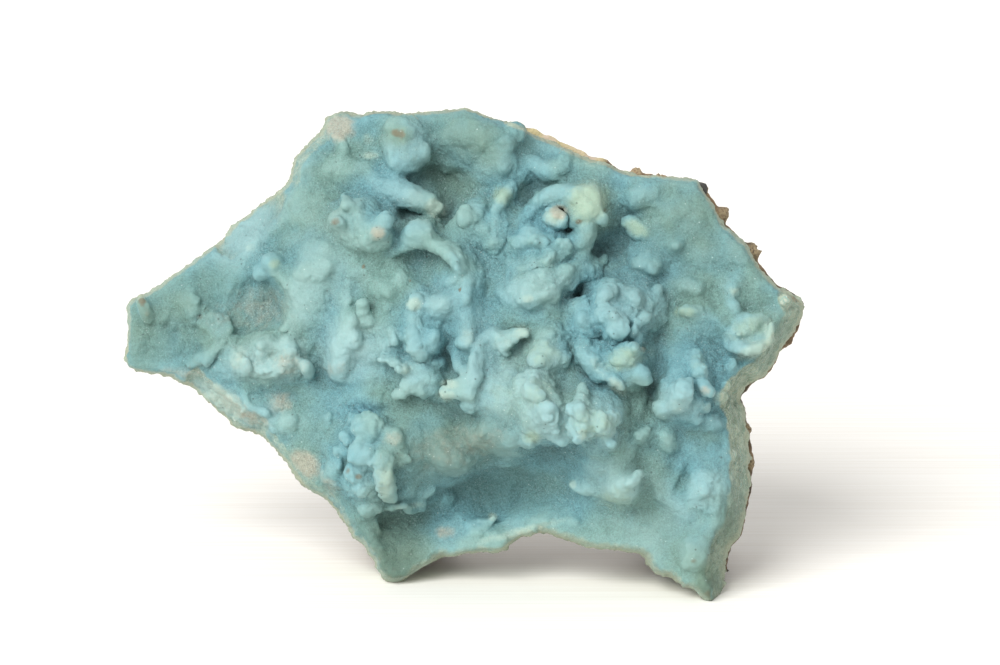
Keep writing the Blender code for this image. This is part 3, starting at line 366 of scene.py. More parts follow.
class Finish:
    """A material with a Principled shader, whose nodes are made by one method."""

    def __init__(self, name, tints, **constants):
        self.tints = tints
        self.material = bpy.data.materials.new(name)
        self.material.use_nodes = True
        self.tree = self.material.node_tree
        self.shader = self.tree.nodes["Principled BSDF"]
        for socket, value in constants.items():
            self.shader.inputs[socket.replace("_", " ").title()].default_value = value
        self.place = self.node("ShaderNodeTexCoord", {}, {}, "Object")

    def node(self, kind, settings, inputs, output=0):
        """Any shader node: its settings first, then the values or wires of its sockets."""
        made = self.tree.nodes.new(kind)
        for name, value in settings.items():
            setattr(made, name, value)
        for name, value in inputs.items():
            if isinstance(value, Wire):
                self.tree.links.new(value.socket, made.inputs[name])
            else:
                made.inputs[name].default_value = value
        return Wire(self, made.outputs[output])

    def mix(self, share, low, high):
        """From the colour low to the colour high, each a wire or the name of a tint."""
        ends = [end if isinstance(end, Wire) else (*self.tints[end], 1) for end in (low, high)]
        return self.node("ShaderNodeMix", {"data_type": "RGBA"}, {0: share, 6: ends[0], 7: ends[1]}, 2)

    def coated(self, colour, coats):
        """A colour with a share of each tint laid over it, one after another."""
        for tint, share in coats.items():
            colour = self.mix(share, colour, tint)
        return colour

    def scaled(self, colour, factor):
        """A colour made lighter or darker."""
        return self.node("ShaderNodeVectorMath", {"operation": "SCALE"}, {0: colour, "Scale": factor})

    def noise(self, size, detail=2.0, roughness=0.5):
        """Noise from 0 to 1 with lumps of a size in millimetres."""
        inputs = {"Vector": self.place, "Scale": 1 / (size * MM), "Detail": detail, "Roughness": roughness}
        return self.node("ShaderNodeTexNoise", {}, inputs, "Fac")

    def dots(self, spacing, radius):
        """1 on scattered dots, with a spacing and a radius in spacings, and 0 between."""
        inputs = {"Vector": self.place, "Scale": 1 / (spacing * MM), "Randomness": 1.0}
        return self.node("ShaderNodeTexVoronoi", {}, inputs, "Distance").step(radius, radius * 0.6)

    def given(self, name):
        """A number stored on the vertices."""
        return self.node("ShaderNodeAttribute", {"attribute_name": name}, {}, "Fac")

    def ragged(self, name, ragging, width):
        """A number stored on the vertices, with its edge made uneven by noise."""
        return self.given(name) + ragging.swing(width)

    def bump(self, height, depth, **below):
        """A bumpy normal: the height is from 0 to 1 and the depth in millimetres."""
        inputs = {"Height": height, "Distance": depth * MM, "Strength": 1.0, **below}
        return self.node("ShaderNodeBump", {}, inputs)

    def feed(self, name, wire):
        self.tree.links.new(wire.socket, self.shader.inputs[name])


def make_rock():
    """The rock's mesh, and its points in the face frame."""
    mesh = slab(ROCK_CELL, 1.0)
    pushed_out(mesh, rock_back, lambda a, b: rock_line(a, b) + ROCK_OVERLAP)
    points, normals = coordinates(mesh), coordinates(mesh, "normal")
    a, b, c = points.T
    deep_dents = noise_at(points, ROCK_DENTS) * ramp(rock_line(a, b) - c, 1, 4)
    bumps = noise_at(points, ROCK_CRUMBS)
    shift = [noise_at(points, ROCK_ACROSS), noise_at(points, ROCK_UPWARD), deep_dents]
    points += normals * bumps[:, None] + np.stack(shift, 1)
    near_crust = ramp(c - rock_line(a, b), -3.2, -1.2)
    give(mesh, "straw", spread(a, b, STRAW, 2) * near_crust)
    grain = np.zeros(len(points))
    for across, up, radius, out in GRAINS:
        near = spread(a, b, (across, up, radius, radius, 1), 2) * near_crust
        points += normals * (near * (out + bumps * GRAIN_CRUMBS))[:, None]
        grain = np.maximum(grain, near)
    give(mesh, "grain", grain)
    give(mesh, "soot", strongest(a, b, SOOT) * near_crust)
    return mesh, points


def rock_finish():
    finish = Finish("rusty rock", ROCK_TINTS, roughness=0.9)
    coarse, fine, grit = finish.noise(6.0, 4.0, 0.6), finish.noise(1.1, 5.0, 0.7), finish.noise(0.35, 2.0)
    colour = finish.coated(finish.mix(coarse.step(0.35, 0.65), "umber", "brown"), {
        "ochre": fine.step(0.5, 0.72),
        "black": fine.step(0.45, 0.28),
        "grain": finish.given("grain") * grit.step(0.3, 0.6),
    })
    straw = finish.mix(coarse.step(0.4, 0.6), "straw", "flesh")
    colour = finish.mix(finish.ragged("straw", fine, 0.5).step(0.35, 0.6), colour, straw)
    colour = finish.mix(finish.ragged("soot", fine, 0.4).step(0.4, 0.6), colour, "soot")
    finish.feed("Base Color", colour)
    finish.feed("Normal", finish.bump(fine + grit * 0.5, 0.5))
    return finish.material


def stand(mesh, points, shift):
    """Turns a mesh from the face frame into the upright one and keeps its underside over the floor."""
    placed = upright(*points.T)
    placed[:, 2] = np.maximum(placed[:, 2], sole(placed[:, 0], placed[:, 1]))
    placed[:, :2] += shift
    set_coordinates(mesh, placed * MM)
    for polygon in mesh.polygons:
        polygon.use_smooth = True


rock_mesh, rock_points = make_rock()

# The solids stand over the middle of their box, so the face frame is moved to match.
rock_low, rock_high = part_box("matrix_rock")
rock_upright = upright(*rock_points.T)
own_middle = (rock_upright.min(0) + rock_upright.max(0)) / 2
box_middle = np.array((rock_low + rock_high) / 2) / MM
SHIFT = (box_middle - own_middle)[:2]

stand(rock_mesh, rock_points, SHIFT)
rock = add_object("rusty_rock", rock_mesh)
rock_mesh.materials.append(rock_finish())
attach(rock, "root")
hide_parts("matrix_rock")

# The crust: pale blue aragonite, which grew over the rock in knobs, fingers and hollows, all in one piece.
# Its face is the same slab pushed out by swells and lumps, with balls for the knobs and tubes for the
# fingers, fused by a fine remesh. Its tips are cream and lime, its hollows grey and sugary, and darkened
# with painted shade and a little dust.

FACE_CELL = 0.5
FUSE_CELL = 0.36
SURVEY_CELL = 0.5  # the grid on which the height of the surroundings is worked out
CRUST_TRIANGLES = 190000
FACE_TILT = 0.15  # the face rises by this share of the way across
CRUST_LEAST = 2.0  # the crust is nowhere thinner than this
SKIRT_WIDTH = 1.6  # of the skirt round a knob, in its radii
BROKEN_EDGE, ROUND_EDGE = 0.5, 0.72  # share of the height that is left at the two kinds of edge
CALM_EDGE = 5.0  # how far in from the edge the lumps reach their full height
STEEP_ROUNDS = 5  # rounds of smoothing on steep slopes
CREASE_ROUNDS = 14
CREASE_DEPTH = 0.12  # a crease this deep is smoothed most
CREASE_SHARE = 0.8
NEAR, AROUND, FAR = 2.2, 4.0, 5.0  # reach of the surroundings that a place is compared with
RELIEF, BROAD_RELIEF = 3.2, 11.0  # heights over the near and far surroundings that count as raised
LEVEL_RAISED = 0.48  # how raised a level place is
EDGE_RAISED = 0.55  # how raised a place at the edge is at least
FEET_TOP = 14.0
FOOT_RIM, TOP_RIM = 1.4, 0.6  # width of the pale rim, on the feet and above them
BULGE_SINK = 0.5  # how far the bulges are sunk into the face
PATCH_EDGE = 1.5

# What a ramp runs over from 0 to 1. Facing is how squarely a place faces the viewer, and a reach is
# measured from the edge.
STEEP_FACING = (0.65, 0.15)
WALL_FACING, WALL_REACH = (0.458, 0.042), (1.8, 0.8)
SIDE_FACING, SIDE_REACH = (0.7, 0.2), (2.5, 1.5)
LIGHT_REACH = (3, 1)
SLANT_WIDTH = (1.6, 2.6)  # of a broken face, from where it is rounded to where it slants
BREAK_WIDTH = (1.2, 2.2)  # of a broken face, from where it is hidden to where it shows
BREAK_SHARE = (1.05, 0.8)  # of the way over a broken face
HOLLOW_DEPTH = (0, 6)
FRONT_HEIGHT = (0.5, 2)  # over the rock

SWELLING = (8.0, 1, 0.0, 3.0)
BULGES = (4.2, 1, 33.0, 1.9)
KNOBBLES = (2.0, 1, 5.0, 0.9)
NODULES = (1.1, 1, 15.0, 1.0)
SUGAR = (0.6, 1, 9.0, 0.10)
FRACTURE = (0.8, 2, 13.0, 0.25)
JAGS = (1.7, 3, 41.0, 0.4)
WARPS = [(8.0, 1.0), (3.0, 0.5)]  # size of the warp, and how far it moves a point

# Soft swells and, where the amount is below 0, hollows.
SWELLS = [
    (10, 42, 25, 17, 7), (24, 24, 13, 9, 4), (38, 5, 9, 10, 3), (-16, 25, 7, 9, 4, 10),
    (-14, 50, 12, 16, 2.5), (12, 31, 13, 5, 4, -5), (-22, 66, 8, 10, 2.2, 30), (2, 74, 8, 5, 1.5),
    (7, 17, 14, 5, -7, 4), (-8, 13, 5, 5, -2.5), (-14.5, 10, 2, 6, 2, 15), (-1, 23, 7, 5, -1.5, 15),
    (-3, 68, 5.5, 6, -4, 10), (-8.5, 61.5, 4, 2.2, -4), (-2.8, 61.5, 1.6, 4, -3.5, -10),
    (24.5, 57, 4.2, 7, -5, -15), (16.7, 60.3, 1.7, 2.4, -4.5), (21, 56, 1.8, 2.2, -3),
    (11, 73, 5, 2.5, -2.5, -20), (10.5, 65, 3, 3.5, -2.5), (14, 52.6, 3.2, 1, -2.5),
    (-6.2, 53.6, 3.4, 2.2, -3), (-23, 38.5, 1.6, 4.5, -1.4, 10), (-2.6, 39.5, 1.4, 4, -2.6, 10),
    (18.1, 48.6, 1.7, 2.3, -8, 20), (10.5, 45.2, 7, 3.4, 2.4), (33.5, 38.5, 3.6, 5, 1.6),
    (30.4, 32.6, 1, 2.6, -4.5, 5), (30.6, 41.6, 1.6, 3, -3, 10), (39, 40.2, 5, 1, -2.2, -12),
    (-16.3, 30.2, 2.8, 1.2, -3.5, -15), (-33, 46.6, 5.4, 4.2, -0.4), (-21.2, 46.4, 1.7, 5.6, -1.4, -15),
    (12.5, 24.6, 3.4, 1.8, -3, -20), (15.5, 33.5, 2, 2.2, -2.5), (35.4, 19.6, 0.8, 2.2, -1.6, -20),
    (47, 47, 4.5, 3.5, -1.5), (33, 51, 6, 5, -1.2), (-18.7, 21.5, 1, 2.2, -2.5, -25),
    (45.8, 43.2, 2.9, 0.5, -2, 32), (44.6, 42, 2.4, 0.4, -1.4, 10), (26.6, 44, 0.8, 1.6, -1.2),
    (-44, 41, 4, 3, -0.8),
]

# Terraces: the ground to the left of each line is raised, most beside the line. Height, reach, width of
# the step, and the line's points.
LEDGES = [
    (2.8, 4, 0.6, [(-13.4, 54.8), (-9.2, 56.2), (-6, 56.9), (-3.4, 56.5), (-1.6, 54.6), (-0.8, 51.6)]),
    (3.2, 9, 1.1, [(-12.5, 14), (-7, 15.8), (-5.2, 18.2), (-1, 19), (2, 20.4), (5, 21.6)]),
    (3.4, 9, 2.4, [(-3, 18.4), (2, 20.2), (5, 21.4), (9, 23.6), (14, 25.6), (20, 25.4), (25.5, 23.6)]),
    (2.2, 6, 0.7, [(2.6, 44), (1.4, 48), (1.4, 51), (0.6, 55), (-1.6, 58.6), (-3, 60.2)]),
    (2.4, 9, 2.4, [(-29, 66), (-28, 60), (-28, 54), (-28.5, 50)]),
    (1.7, 8, 0.6, [(-29, 53), (-28.2, 50.4), (-27.6, 48), (-27.8, 45.4), (-29.6, 43.4), (-32.5, 42.4),
                   (-36, 42.4)]),
    (1.2, 5, 0.6, [(-45, 37.2), (-42, 38.2), (-39, 39.6), (-37.8, 41.4)]),
    (1, 5, 0.8, [(-37.6, 41.6), (-38.6, 44.6), (-38, 48.4), (-36, 51), (-31, 51)]),
    (1.4, 5, 0.7, [(-39, 35.8), (-35.5, 34.6), (-31.5, 34.8), (-28, 34.6), (-25.4, 36.2)]),
    (2, 6, 0.9, [(-13, 31.6), (-8, 31.6), (-4, 31), (0, 30), (4, 29.4)]),
    (1.4, 6, 0.8, [(30.6, 29), (29.7, 33), (29.6, 37), (30.4, 41), (29.8, 45)]),
    (1, 6, 0.8, [(33.5, 41), (31.9, 37), (31.5, 33), (32.6, 30)]),
    (1.8, 5, 0.8, [(-21, 31.5), (-18.5, 30.2), (-15, 29.6), (-12, 30.2)]),
    (1.6, 7, 1.5, [(26, 22), (29, 18.5), (33, 15), (37, 10)]),
    (1.8, 5, 0.9, [(12, 46), (17.5, 45.8), (21, 44), (23, 41.5)]),
]

# Lumps with a crease round their foot.
LUMPS = [
    (-0.2, 49, 4.2, 7.4, 3, 10), (-2.4, 51.4, 3.4, 3, 4.2, 30), (-4.4, 46.8, 3.3, 2.8, 5, 20),
    (-2.6, 56, 2.5, 2.6, 3.6, 20), (-8.2, 60, 2.3, 2.2, 4.6), (-5.4, 60.2, 2.4, 2.3, 5),
    (-6.8, 58.2, 4.2, 2.2, 3.8), (12.4, 50, 8.4, 3.1, 4.4, 8), (21.6, 21.6, 5.8, 7, 4.4, -30),
    (24.8, 18.2, 4.4, 4, 7, 10), (17, 23.4, 6, 4, 2.2, -40), (-8.5, 24.5, 6.2, 8, 3.8),
    (-4.5, 26, 4.4, 3.6, 4.2), (3.2, 26.4, 5, 3.8, 4.6), (6, 35, 9.5, 7.5, 3.4, -15),
    (13.5, 33, 6.5, 9, 3.6), (25.4, 46.2, 7.2, 6.2, 4.2, 10), (25.2, 37.2, 5.4, 4.4, 4.2),
    (2.6, 60.4, 5.6, 4.6, 3), (12.2, 55.4, 6.2, 4.8, 4.2, 10), (-8, 41, 5.4, 6.4, 2.6),
    (-24.4, 50.5, 4.8, 9, 3.4, -22), (34.5, 33, 5.6, 5, 3), (-14.5, 23, 5.6, 8.6, 4.2, 8),
    (20.5, 29.5, 6, 5, 4.2), (-33, 38.8, 8.4, 4.2, 1.4, 5), (-13, 47, 15.5, 16, 3),
    (-36.2, 38.8, 3.4, 4.2, 3.2, 20), (-28, 39.8, 3.2, 3.6, 3.8), (-32, 40.4, 3.6, 2.8, 3.6),
    (-31, 37.2, 3.4, 2.4, 3.2), (-25.8, 37, 1.5, 2.6, 3.2, 30), (-29.2, 43.8, 2.2, 1.9, 3.2),
    (-19.8, 37.4, 2.6, 2.6, 4.2), (-30.6, 52.6, 3.4, 2.4, 2.2, -30), (-40.2, 42.6, 3, 3.2, 2.2, 30),
    (-41.5, 38.9, 3.4, 1.5, 1.9, 20), (-44.2, 47.6, 1.7, 3.2, 2, 15), (-28.6, 28.6, 2.6, 1.9, 1.8),
    (-20.9, 20.6, 2.7, 2.7, 3.6), (-19.6, 24, 1.9, 1.7, 2), (-18.4, 41.8, 3, 8, 4.6, -15),
    (-16, 34, 5, 2.2, 1.4), (-15.6, 60, 6.8, 6, 6.4, -10), (-16.9, 63.2, 2.8, 2.4, 6.6),
    (-19.4, 60.4, 2.4, 2.4, 5.8), (-13, 60.8, 2.8, 2.6, 7), (-16, 57.6, 3, 2.6, 6.2),
    (-12.8, 58.2, 2.4, 2, 6.6), (0.5, 73.2, 5.4, 4.6, 2.6), (4.5, 70.4, 4.6, 3.8, 2.2),
    (-9.6, 72.8, 4.8, 5.4, 1.6, 5), (-7.3, 42, 2.8, 5.2, 6.6, 5), (-10.8, 42.3, 2.1, 2.2, 5.4),
    (-4.7, 42, 1.9, 3.4, 5.6), (12.8, 39.4, 3.4, 4, 5.6, -20), (15.8, 41.8, 2.1, 1.8, 2.4),
    (10.8, 34, 4, 3.6, 5.4), (12.2, 29.4, 4.4, 3.8, 6), (19.4, 29, 3.8, 3.4, 6.6),
    (23.2, 28.4, 2.8, 3.2, 5.8), (22, 38.6, 4.2, 3, 4.3, -10), (25.2, 38.9, 3.4, 2.4, 6.2, 20),
    (24, 43.6, 3.6, 2.6, 5, 20), (22.4, 48.8, 3.4, 2.4, 5, 30), (26.9, 48.2, 3.2, 2.6, 4.9, -30),
    (28.8, 45.4, 2.4, 1.8, 4.6, 40), (28.2, 54.4, 3, 2.4, 2.4, -20), (30.5, 53.2, 1.9, 1.7, 1.9),
    (12.6, 49.6, 5.4, 2.6, 3.5), (11.2, 57.4, 3.6, 2.8, 5.6, 10), (13.6, 54.8, 2.6, 2.6, 6),
    (5, 57.2, 2.6, 2.5, 3.4), (1.4, 62, 3.2, 2.6, 4.6, 20), (3, 73.6, 3.8, 3.4, 1.6),
    (2.7, 67.4, 2.4, 2.4, 1.1), (7.6, 67.6, 3.2, 2.4, 1.1, 60), (29.6, 64.6, 3, 2.6, 1.2),
    (34, 61.5, 4.5, 3.4, 0.8), (43, 56.2, 3.6, 2.4, 0.9, -40), (38.4, 45.6, 4.4, 2, 1.2),
    (43, 46.7, 1.8, 1.9, 2.4), (45, 42.4, 4.9, 2.8, 3.2, 26), (34.2, 32.4, 3.2, 2.6, 5.6, 10),
    (37.4, 35.4, 2.2, 3.6, 4.2, 10), (39.2, 28.8, 2.3, 1.9, 2.2), (36.4, 49.8, 2.8, 1.6, 1.6),
    (28.4, 26.6, 3, 2, 2.7, 35), (32.4, 26.2, 2.2, 2.9, 3), (39, 17.6, 3.6, 4.2, 2, -20),
    (36.4, 7.4, 3, 2.6, 1.8, 20), (-3.1, 16.6, 2, 1.8, 3), (-2, 22.4, 4.6, 3.8, 4.6),
    (7.4, 25.4, 4.6, 3, 4, 20), (-15.3, 26.6, 3.4, 2.6, 4.4), (-15, 22.8, 3.6, 2.8, 4.4),
    (-9.6, 17.6, 3.2, 3, 3.5), (17, 12.9, 1.6, 1, 1.1, -10), (12.2, 12.6, 2.4, 0.9, 0.9, 10),
    (-26, 69.4, 2.6, 3.4, 1.1, -10), (33.5, 56.2, 1.8, 1.6, 1.1),
]

# Knobs that stand clear of the face: across, up, radius, height of the middle over the face.
KNOBS = [
    (-17.5, 29, 1.5, 0.6), (-15, 27.4, 2.6, 0.4), (-18.5, 26, 1.6, 0.8), (-11.2, 25.6, 2, 1),
    (-15.7, 24, 2.5, 0.8), (-17.1, 20.8, 1.6, 1.2), (-16, 18.6, 1.7, 0.4), (-15.1, 15.2, 1.6, 0.6),
    (-20.2, 23.7, 1.3, 0.4), (-12.9, 22.4, 1.9, 1.2), (-2.6, 23.6, 2.8, -1.2), (-28.4, 51.4, 1.3, 0.1),
    (-9.7, 71.5, 3.78, -0.2), (-10.2, 74.3, 3.24, -0.2), (-7.2, 71.2, 1.51, 2.4), (-20, 75.4, 2.38, -2.5),
    (7.7, 74.4, 2.1, 1), (6.2, 72.6, 1.6, 0.5), (-20.2, 60.6, 0.9, 1.5), (-13.6, 58.8, 1.4, 1.1),
    (-12.9, 60.4, 1.4, 1.1), (-7.6, 47.4, 1.3, 2.2), (0.4, 41.9, 1.73, 2), (-9.3, 36.9, 0.95, 3.6),
    (-4, 37.4, 1.1, 1.2), (-5.1, 34.2, 1.84, 0.9), (1.2, 31.7, 1.73, 0), (-30.7, 53.5, 1.73, 0.6),
    (-32.4, 52, 1.4, 0), (15.7, 38.7, 1.1, 1.8), (11.3, 32.6, 1.4, 1.7), (10.6, 26.2, 1.4, 1.5),
    (16.3, 26.8, 1.4, 1.1), (18.9, 26.7, 0.9, 2.8), (23.8, 25.8, 0.9, 2.4), (21.9, 28.6, 1.62, 1.6),
    (18.2, 30.6, 1.62, 1.6), (30.8, 49.5, 0.9, 0.7), (43, 49.3, 0.95, 0.8), (51, 47.7, 1.1, 0.6),
    (34, 56.3, 0.9, 0.4), (37, 38.7, 1.15, 1.2), (37.7, 37.1, 1.05, 1.6), (41.3, 34.6, 1.35, 0.8),
    (32, 31.2, 1.9, 0.8), (34.4, 33.6, 1.8, 1.2), (36.3, 31.6, 1.5, 1), (38.3, 33.7, 1, 2.4),
    (40.5, 32.4, 1.1, 1.6), (38.2, 30.9, 1.05, 2.2), (36.8, 30, 1.4, 1.3), (40.4, 36.6, 1, 0.8),
    (15.5, 57, 1.3, 1.5), (19.6, 63, 2.7, 3.2), (20.3, 64.8, 1.73, 3.8), (18.4, 61, 1.4, 4.1),
    (21.8, 61.6, 1.1, 4.6), (22.5, 60.8, 0.6, 4.4), (14.5, 61.3, 1.6, 4.6), (6.4, 65, 1.62, 0.6),
    (28, 36.5, 1.62, 0.4), (2.2, 52, 1, 0.6), (4, 51.6, 0.8, 0.5), (8.6, 52.2, 1.62, 0.2),
    (-21.6, 29.2, 0.8, 0.4),
]

# Fingers, arches and ridges that stand clear: each point is across, up, height over the face, radius.
STEMS = [
    [(-6.2, 58.8, 0.4, 2.2), (-4.2, 57, 0.8, 1.5), (-2.2, 55.4, 0.8, 1.3), (-0.8, 52.8, 0.2, 1.3)],
    [(-30.6, 53.4, 0.2, 1), (-29.2, 52, 0.4, 1.1), (-28, 50.4, 0.4, 0.8)],
    [(-20, 68.6, -1.8, 3.2), (-14.5, 66.9, -0.2, 3), (-10, 65.2, 2, 2.4), (-6.6, 63.7, 3.8, 1.6),
     (-4.2, 62.5, 4.8, 0.85)],
    [(-12.4, 55.2, 0.3, 0.5), (-9.8, 56.6, -0.2, 1.2), (-7.2, 58.6, 0.2, 2.4)],
    [(-18.5, 65.4, 1.6, 0.35), (-18.2, 63.6, 0.8, 0.8)],
    [(-8.1, 76.4, 0.8, 0.8), (-7.4, 74.8, 0.8, 0.7)],
    [(-20.9, 74.3, 0.3, 0.5), (-19.6, 72.8, 0.6, 0.7), (-18.9, 70.4, 0.2, 0.7)],
    [(-51.8, 47.7, 1, 1), (-51.2, 46.6, 0.6, 1.2), (-50.8, 45.2, 0, 1.1)],
    [(10.6, 69.6, 0.2, 1.5), (12.2, 68.8, 0.5, 1.7), (14.2, 68.8, 0.5, 1.7), (16.2, 70.4, 0, 1.4)],
    [(4.6, 62.3, 1.2, 0.75), (5.6, 63.6, 1.4, 1.3), (6.8, 65.8, 0.8, 1.3)],
    [(-2, 58.7, 0.8, 0.45), (-1.4, 60, 0.6, 1), (0.2, 61.4, 0.6, 1.4)],
    [(8.6, 59.6, -0.4, 1.8), (10.8, 61.8, 1.2, 1.8), (12.8, 63.8, 2.2, 1.9), (15.4, 64.9, 3, 1.9),
     (18.2, 64.4, 3.6, 2.1)],
    [(19.2, 61, 3.8, 1.5), (19.2, 58.4, 2.8, 1.7), (18.2, 56.4, 1.6, 1.8), (18.6, 54.2, 0.8, 1.7)],
    [(22.5, 55.2, 2.6, 0.4), (21.3, 54, 2.2, 0.9), (19.4, 52.6, 1.4, 1.5), (16.4, 51.6, 0.2, 1.9),
     (12.4, 51, -1, 2.1)],
    [(20.2, 55.3, 1.6, 0.5), (20.4, 53.6, 1.6, 1), (20.8, 51.8, 0.8, 1.4)],
    [(26, 60.1, 2.4, 1), (27.3, 59.4, 1.6, 1.25), (29.2, 58.2, 0, 1.3)],
    [(34.3, 46.1, 1.6, 0.65), (35.6, 46.1, 1, 1), (37.2, 46.2, 0, 1.3)],
    [(-15.9, 47.4, 2.2, 0.55), (-15.7, 46.2, 1.2, 0.7), (-15, 45.2, 0.2, 1.3)],
    [(9.9, 42.9, 2.6, 0.45), (8.2, 42.6, 2.4, 1.1), (6.4, 41.6, 1.8, 1.6), (4.4, 42, 1.4, 1.4),
     (2.8, 39.9, 1.2, 1.4), (1.6, 37.4, 1.6, 1.3), (0.9, 35.2, 2, 1.5), (0.6, 33.4, 1.6, 1.6)],
    [(7, 39.9, 1.6, 0.7), (6.2, 41.4, 1.6, 1.2)],
    [(-2.6, 40.6, 0.6, 0.9), (-0.9, 38.6, 1.2, 1.1), (0.3, 36, 1.8, 1.1)],
    [(-2.5, 34.5, 4, 0.4), (-1.2, 34.6, 3.2, 0.8), (0.6, 34.6, 2, 1.1)],
    [(-3.2, 32.8, 3.8, 0.75), (-1.6, 32.9, 3.2, 1), (0.6, 33.4, 2, 1.4)],
    [(-13.1, 38.2, 2.4, 0.35), (-11.4, 37.7, 2.2, 0.7), (-9, 36.8, 2, 1.2), (-7.4, 36.2, 1.2, 2),
     (-6.6, 34.4, 1.2, 1.9)],
    [(-11.6, 32.5, 2.4, 0.3), (-10, 33, 2, 0.7), (-8.6, 34.2, 1.4, 1.5)],
    [(-12, 16.8, 3.4, 1.2), (-12.3, 18.4, 3.2, 1.45), (-12.6, 20.8, 2.6, 1.4), (-13, 22.8, 1.8, 1.5)],
    [(-8.9, 22.4, 1.6, 0.5), (-10, 22.8, 1, 0.9), (-11.6, 23.6, 0.4, 1.6)],
    [(-11.9, 21.4, 2.9, 0.75), (-12.2, 22.6, 2.4, 1)],
    [(-17, 20.1, 2.6, 0.6), (-17.3, 21.2, 2, 1)],
    [(-12.6, 15.2, 1.8, 0.5), (-10, 15.6, 2.4, 0.7), (-7.8, 14.9, 2.8, 0.7), (-6.6, 16.8, 2, 0.9),
     (-5.4, 18.2, 1.2, 0.8)],
    [(-15.2, 13.9, 0.4, 0.5), (-14.2, 12, 0.4, 0.55), (-13.2, 10.4, 0.2, 0.5)],
    [(18.6, 34.2, 2.6, 0.35), (18.4, 32.9, 2, 0.7), (18.6, 31.4, 1.2, 1.3)],
    [(14.6, 27.6, 1.6, 0.5), (15.2, 26.2, 1.8, 0.45)],
    [(24.9, 33.7, 2.2, 0.5), (23.8, 34.6, 1.8, 1), (21.7, 36.3, 1.2, 1.6), (19.8, 38.6, 1, 1.9),
     (19.1, 41.6, 0.8, 1.9), (19.1, 44.9, 0.4, 1.9), (17, 47.2, -0.4, 1.7)],
    [(23.5, 33.7, 2, 0.4), (23.4, 34.7, 1.8, 0.7)],
    [(23.7, 46.2, 1.6, 0.35), (23.7, 45, 1.2, 0.8)],
    [(27.3, 45, 1, 0.5), (27.5, 43, 1.2, 0.7), (27.2, 41, 0.8, 0.8)],
    [(28.4, 40, 2.2, 0.6), (27, 40.1, 2.4, 0.9)],
    [(49, 43.8, 1.2, 0.7), (48.6, 42, 1.4, 0.9), (46.6, 40.7, 1.5, 0.9), (43.8, 40.3, 0.9, 0.9),
     (41.4, 40.6, 0, 0.7)],
    [(48.4, 44.9, 0.8, 0.7), (45.6, 45, 0.8, 0.9), (43, 44.2, 0.4, 0.8)],
    [(17.5, 18.6, 1.6, 0.5), (18.5, 18.2, 0.8, 0.8), (20, 18, 0.2, 1.2)],
    [(28.3, 19.9, 2, 0.45), (27.6, 20.2, 1.8, 0.6), (26.4, 19, 1, 1.1)],
    [(4.9, 13.7, 2.4, 0.4), (3.6, 12.5, 1.2, 1), (1.8, 10.9, -0.4, 1.9)],
    [(42.5, 38.4, 1.4, 0.5), (42.2, 37.4, 0.8, 0.8)],
    [(-38.6, 44.4, 0, 0.9), (-38.2, 42.4, 0.1, 1), (-39.2, 40.2, 0, 0.9)],
    [(-38.4, 40.2, 0.1, 0.8), (-41, 38.8, 0.1, 0.9), (-44.2, 37.8, -0.2, 0.7)],
    [(-34.8, 33, 0.8, 0.5), (-33.6, 30.8, 0.6, 0.6), (-30.8, 29.8, 0.4, 0.6), (-30.4, 27, 0.2, 0.5)],
]

# Where the crust is knobbly, over a little everywhere.
RUGGED = [
    (12, 56, 9, 9, 0.9), (22, 45, 11, 9, 1), (38, 34, 8, 8, 0.8), (-9, 38, 8, 9, 0.8), (-16, 24, 7, 10, 1),
    (-32, 38, 11, 5, 0.9), (18, 28, 12, 6, 0.9), (-15, 61, 7, 5, 0.6), (1, 58, 6, 10, 0.7),
    (-15, 48, 13, 12, 0.6), (-42, 43, 8, 6, 0.9), (8, 37, 9, 7, 0.7), (4, 73, 10, 6, 0.4),
    (-30, 29, 8, 4, 0.6), (30, 52, 8, 6, 0.6),
]
RUGGED_FLOOR = 0.35

# Scattered small bumps: across, up, half width, half height, turn, count, smallest and largest radius.
CRUMBS = [
    (25.5, 47, 5, 4.5, 0, 45, 0.4, 1.1), (12, 51, 6, 2.6, 8, 25, 0.4, 1),
    (-30, 38.5, 8, 3.5, 5, 45, 0.4, 1.1), (-43.5, 43.5, 6, 5, 0, 40, 0.4, 1),
    (24, 43, 6, 4, 0, 30, 0.4, 1.1), (12, 56, 5, 4, 0, 20, 0.5, 1.3), (22, 29, 7, 4, 0, 25, 0.5, 1.3),
    (10, 33, 6, 6, 0, 20, 0.5, 1.4), (37, 33, 5, 5, 0, 20, 0.5, 1.3), (-15, 24, 4, 7, 0, 25, 0.5, 1.4),
    (-8, 38, 5, 6, 0, 17, 0.5, 1.2), (3, 56, 4, 8, 0, 20, 0.5, 1.3), (-15, 60, 5, 4, 0, 15, 0.5, 1.3),
    (30, 52, 6, 5, 0, 20, 0.5, 1.2), (-12, 47, 10, 9, 0, 30, 0.8, 2), (-29, 29, 7, 3, -30, 15, 0.4, 1),
    (4, 70, 9, 7, 0, 20, 0.5, 1.3), (5, 42, 12, 8, 0, 25, 0.5, 1.3), (34, 60, 9, 6, 0, 15, 0.4, 1),
    (0, 25, 9, 4, 0, 10, 0.6, 1.4), (45, 45, 7, 6, 0, 15, 0.4, 1), (20, 10, 20, 3, 0, 15, 0.4, 0.9),
    (35, 15, 7, 10, 0, 15, 0.4, 1),
]
CRUMB_SEED = 4
CRUMB_HEIGHT = 0.64  # of a bump, in its radii

# Round fans of fibres: across, up, radius, number of fibres, depth of the furrows.
ROSETTES = [
    (38.4, 17.2, 4.3, 31, 0.25), (-36.3, 38.6, 3.2, 21, 0.25), (28.8, 26.8, 2.8, 17, 0.3),
]
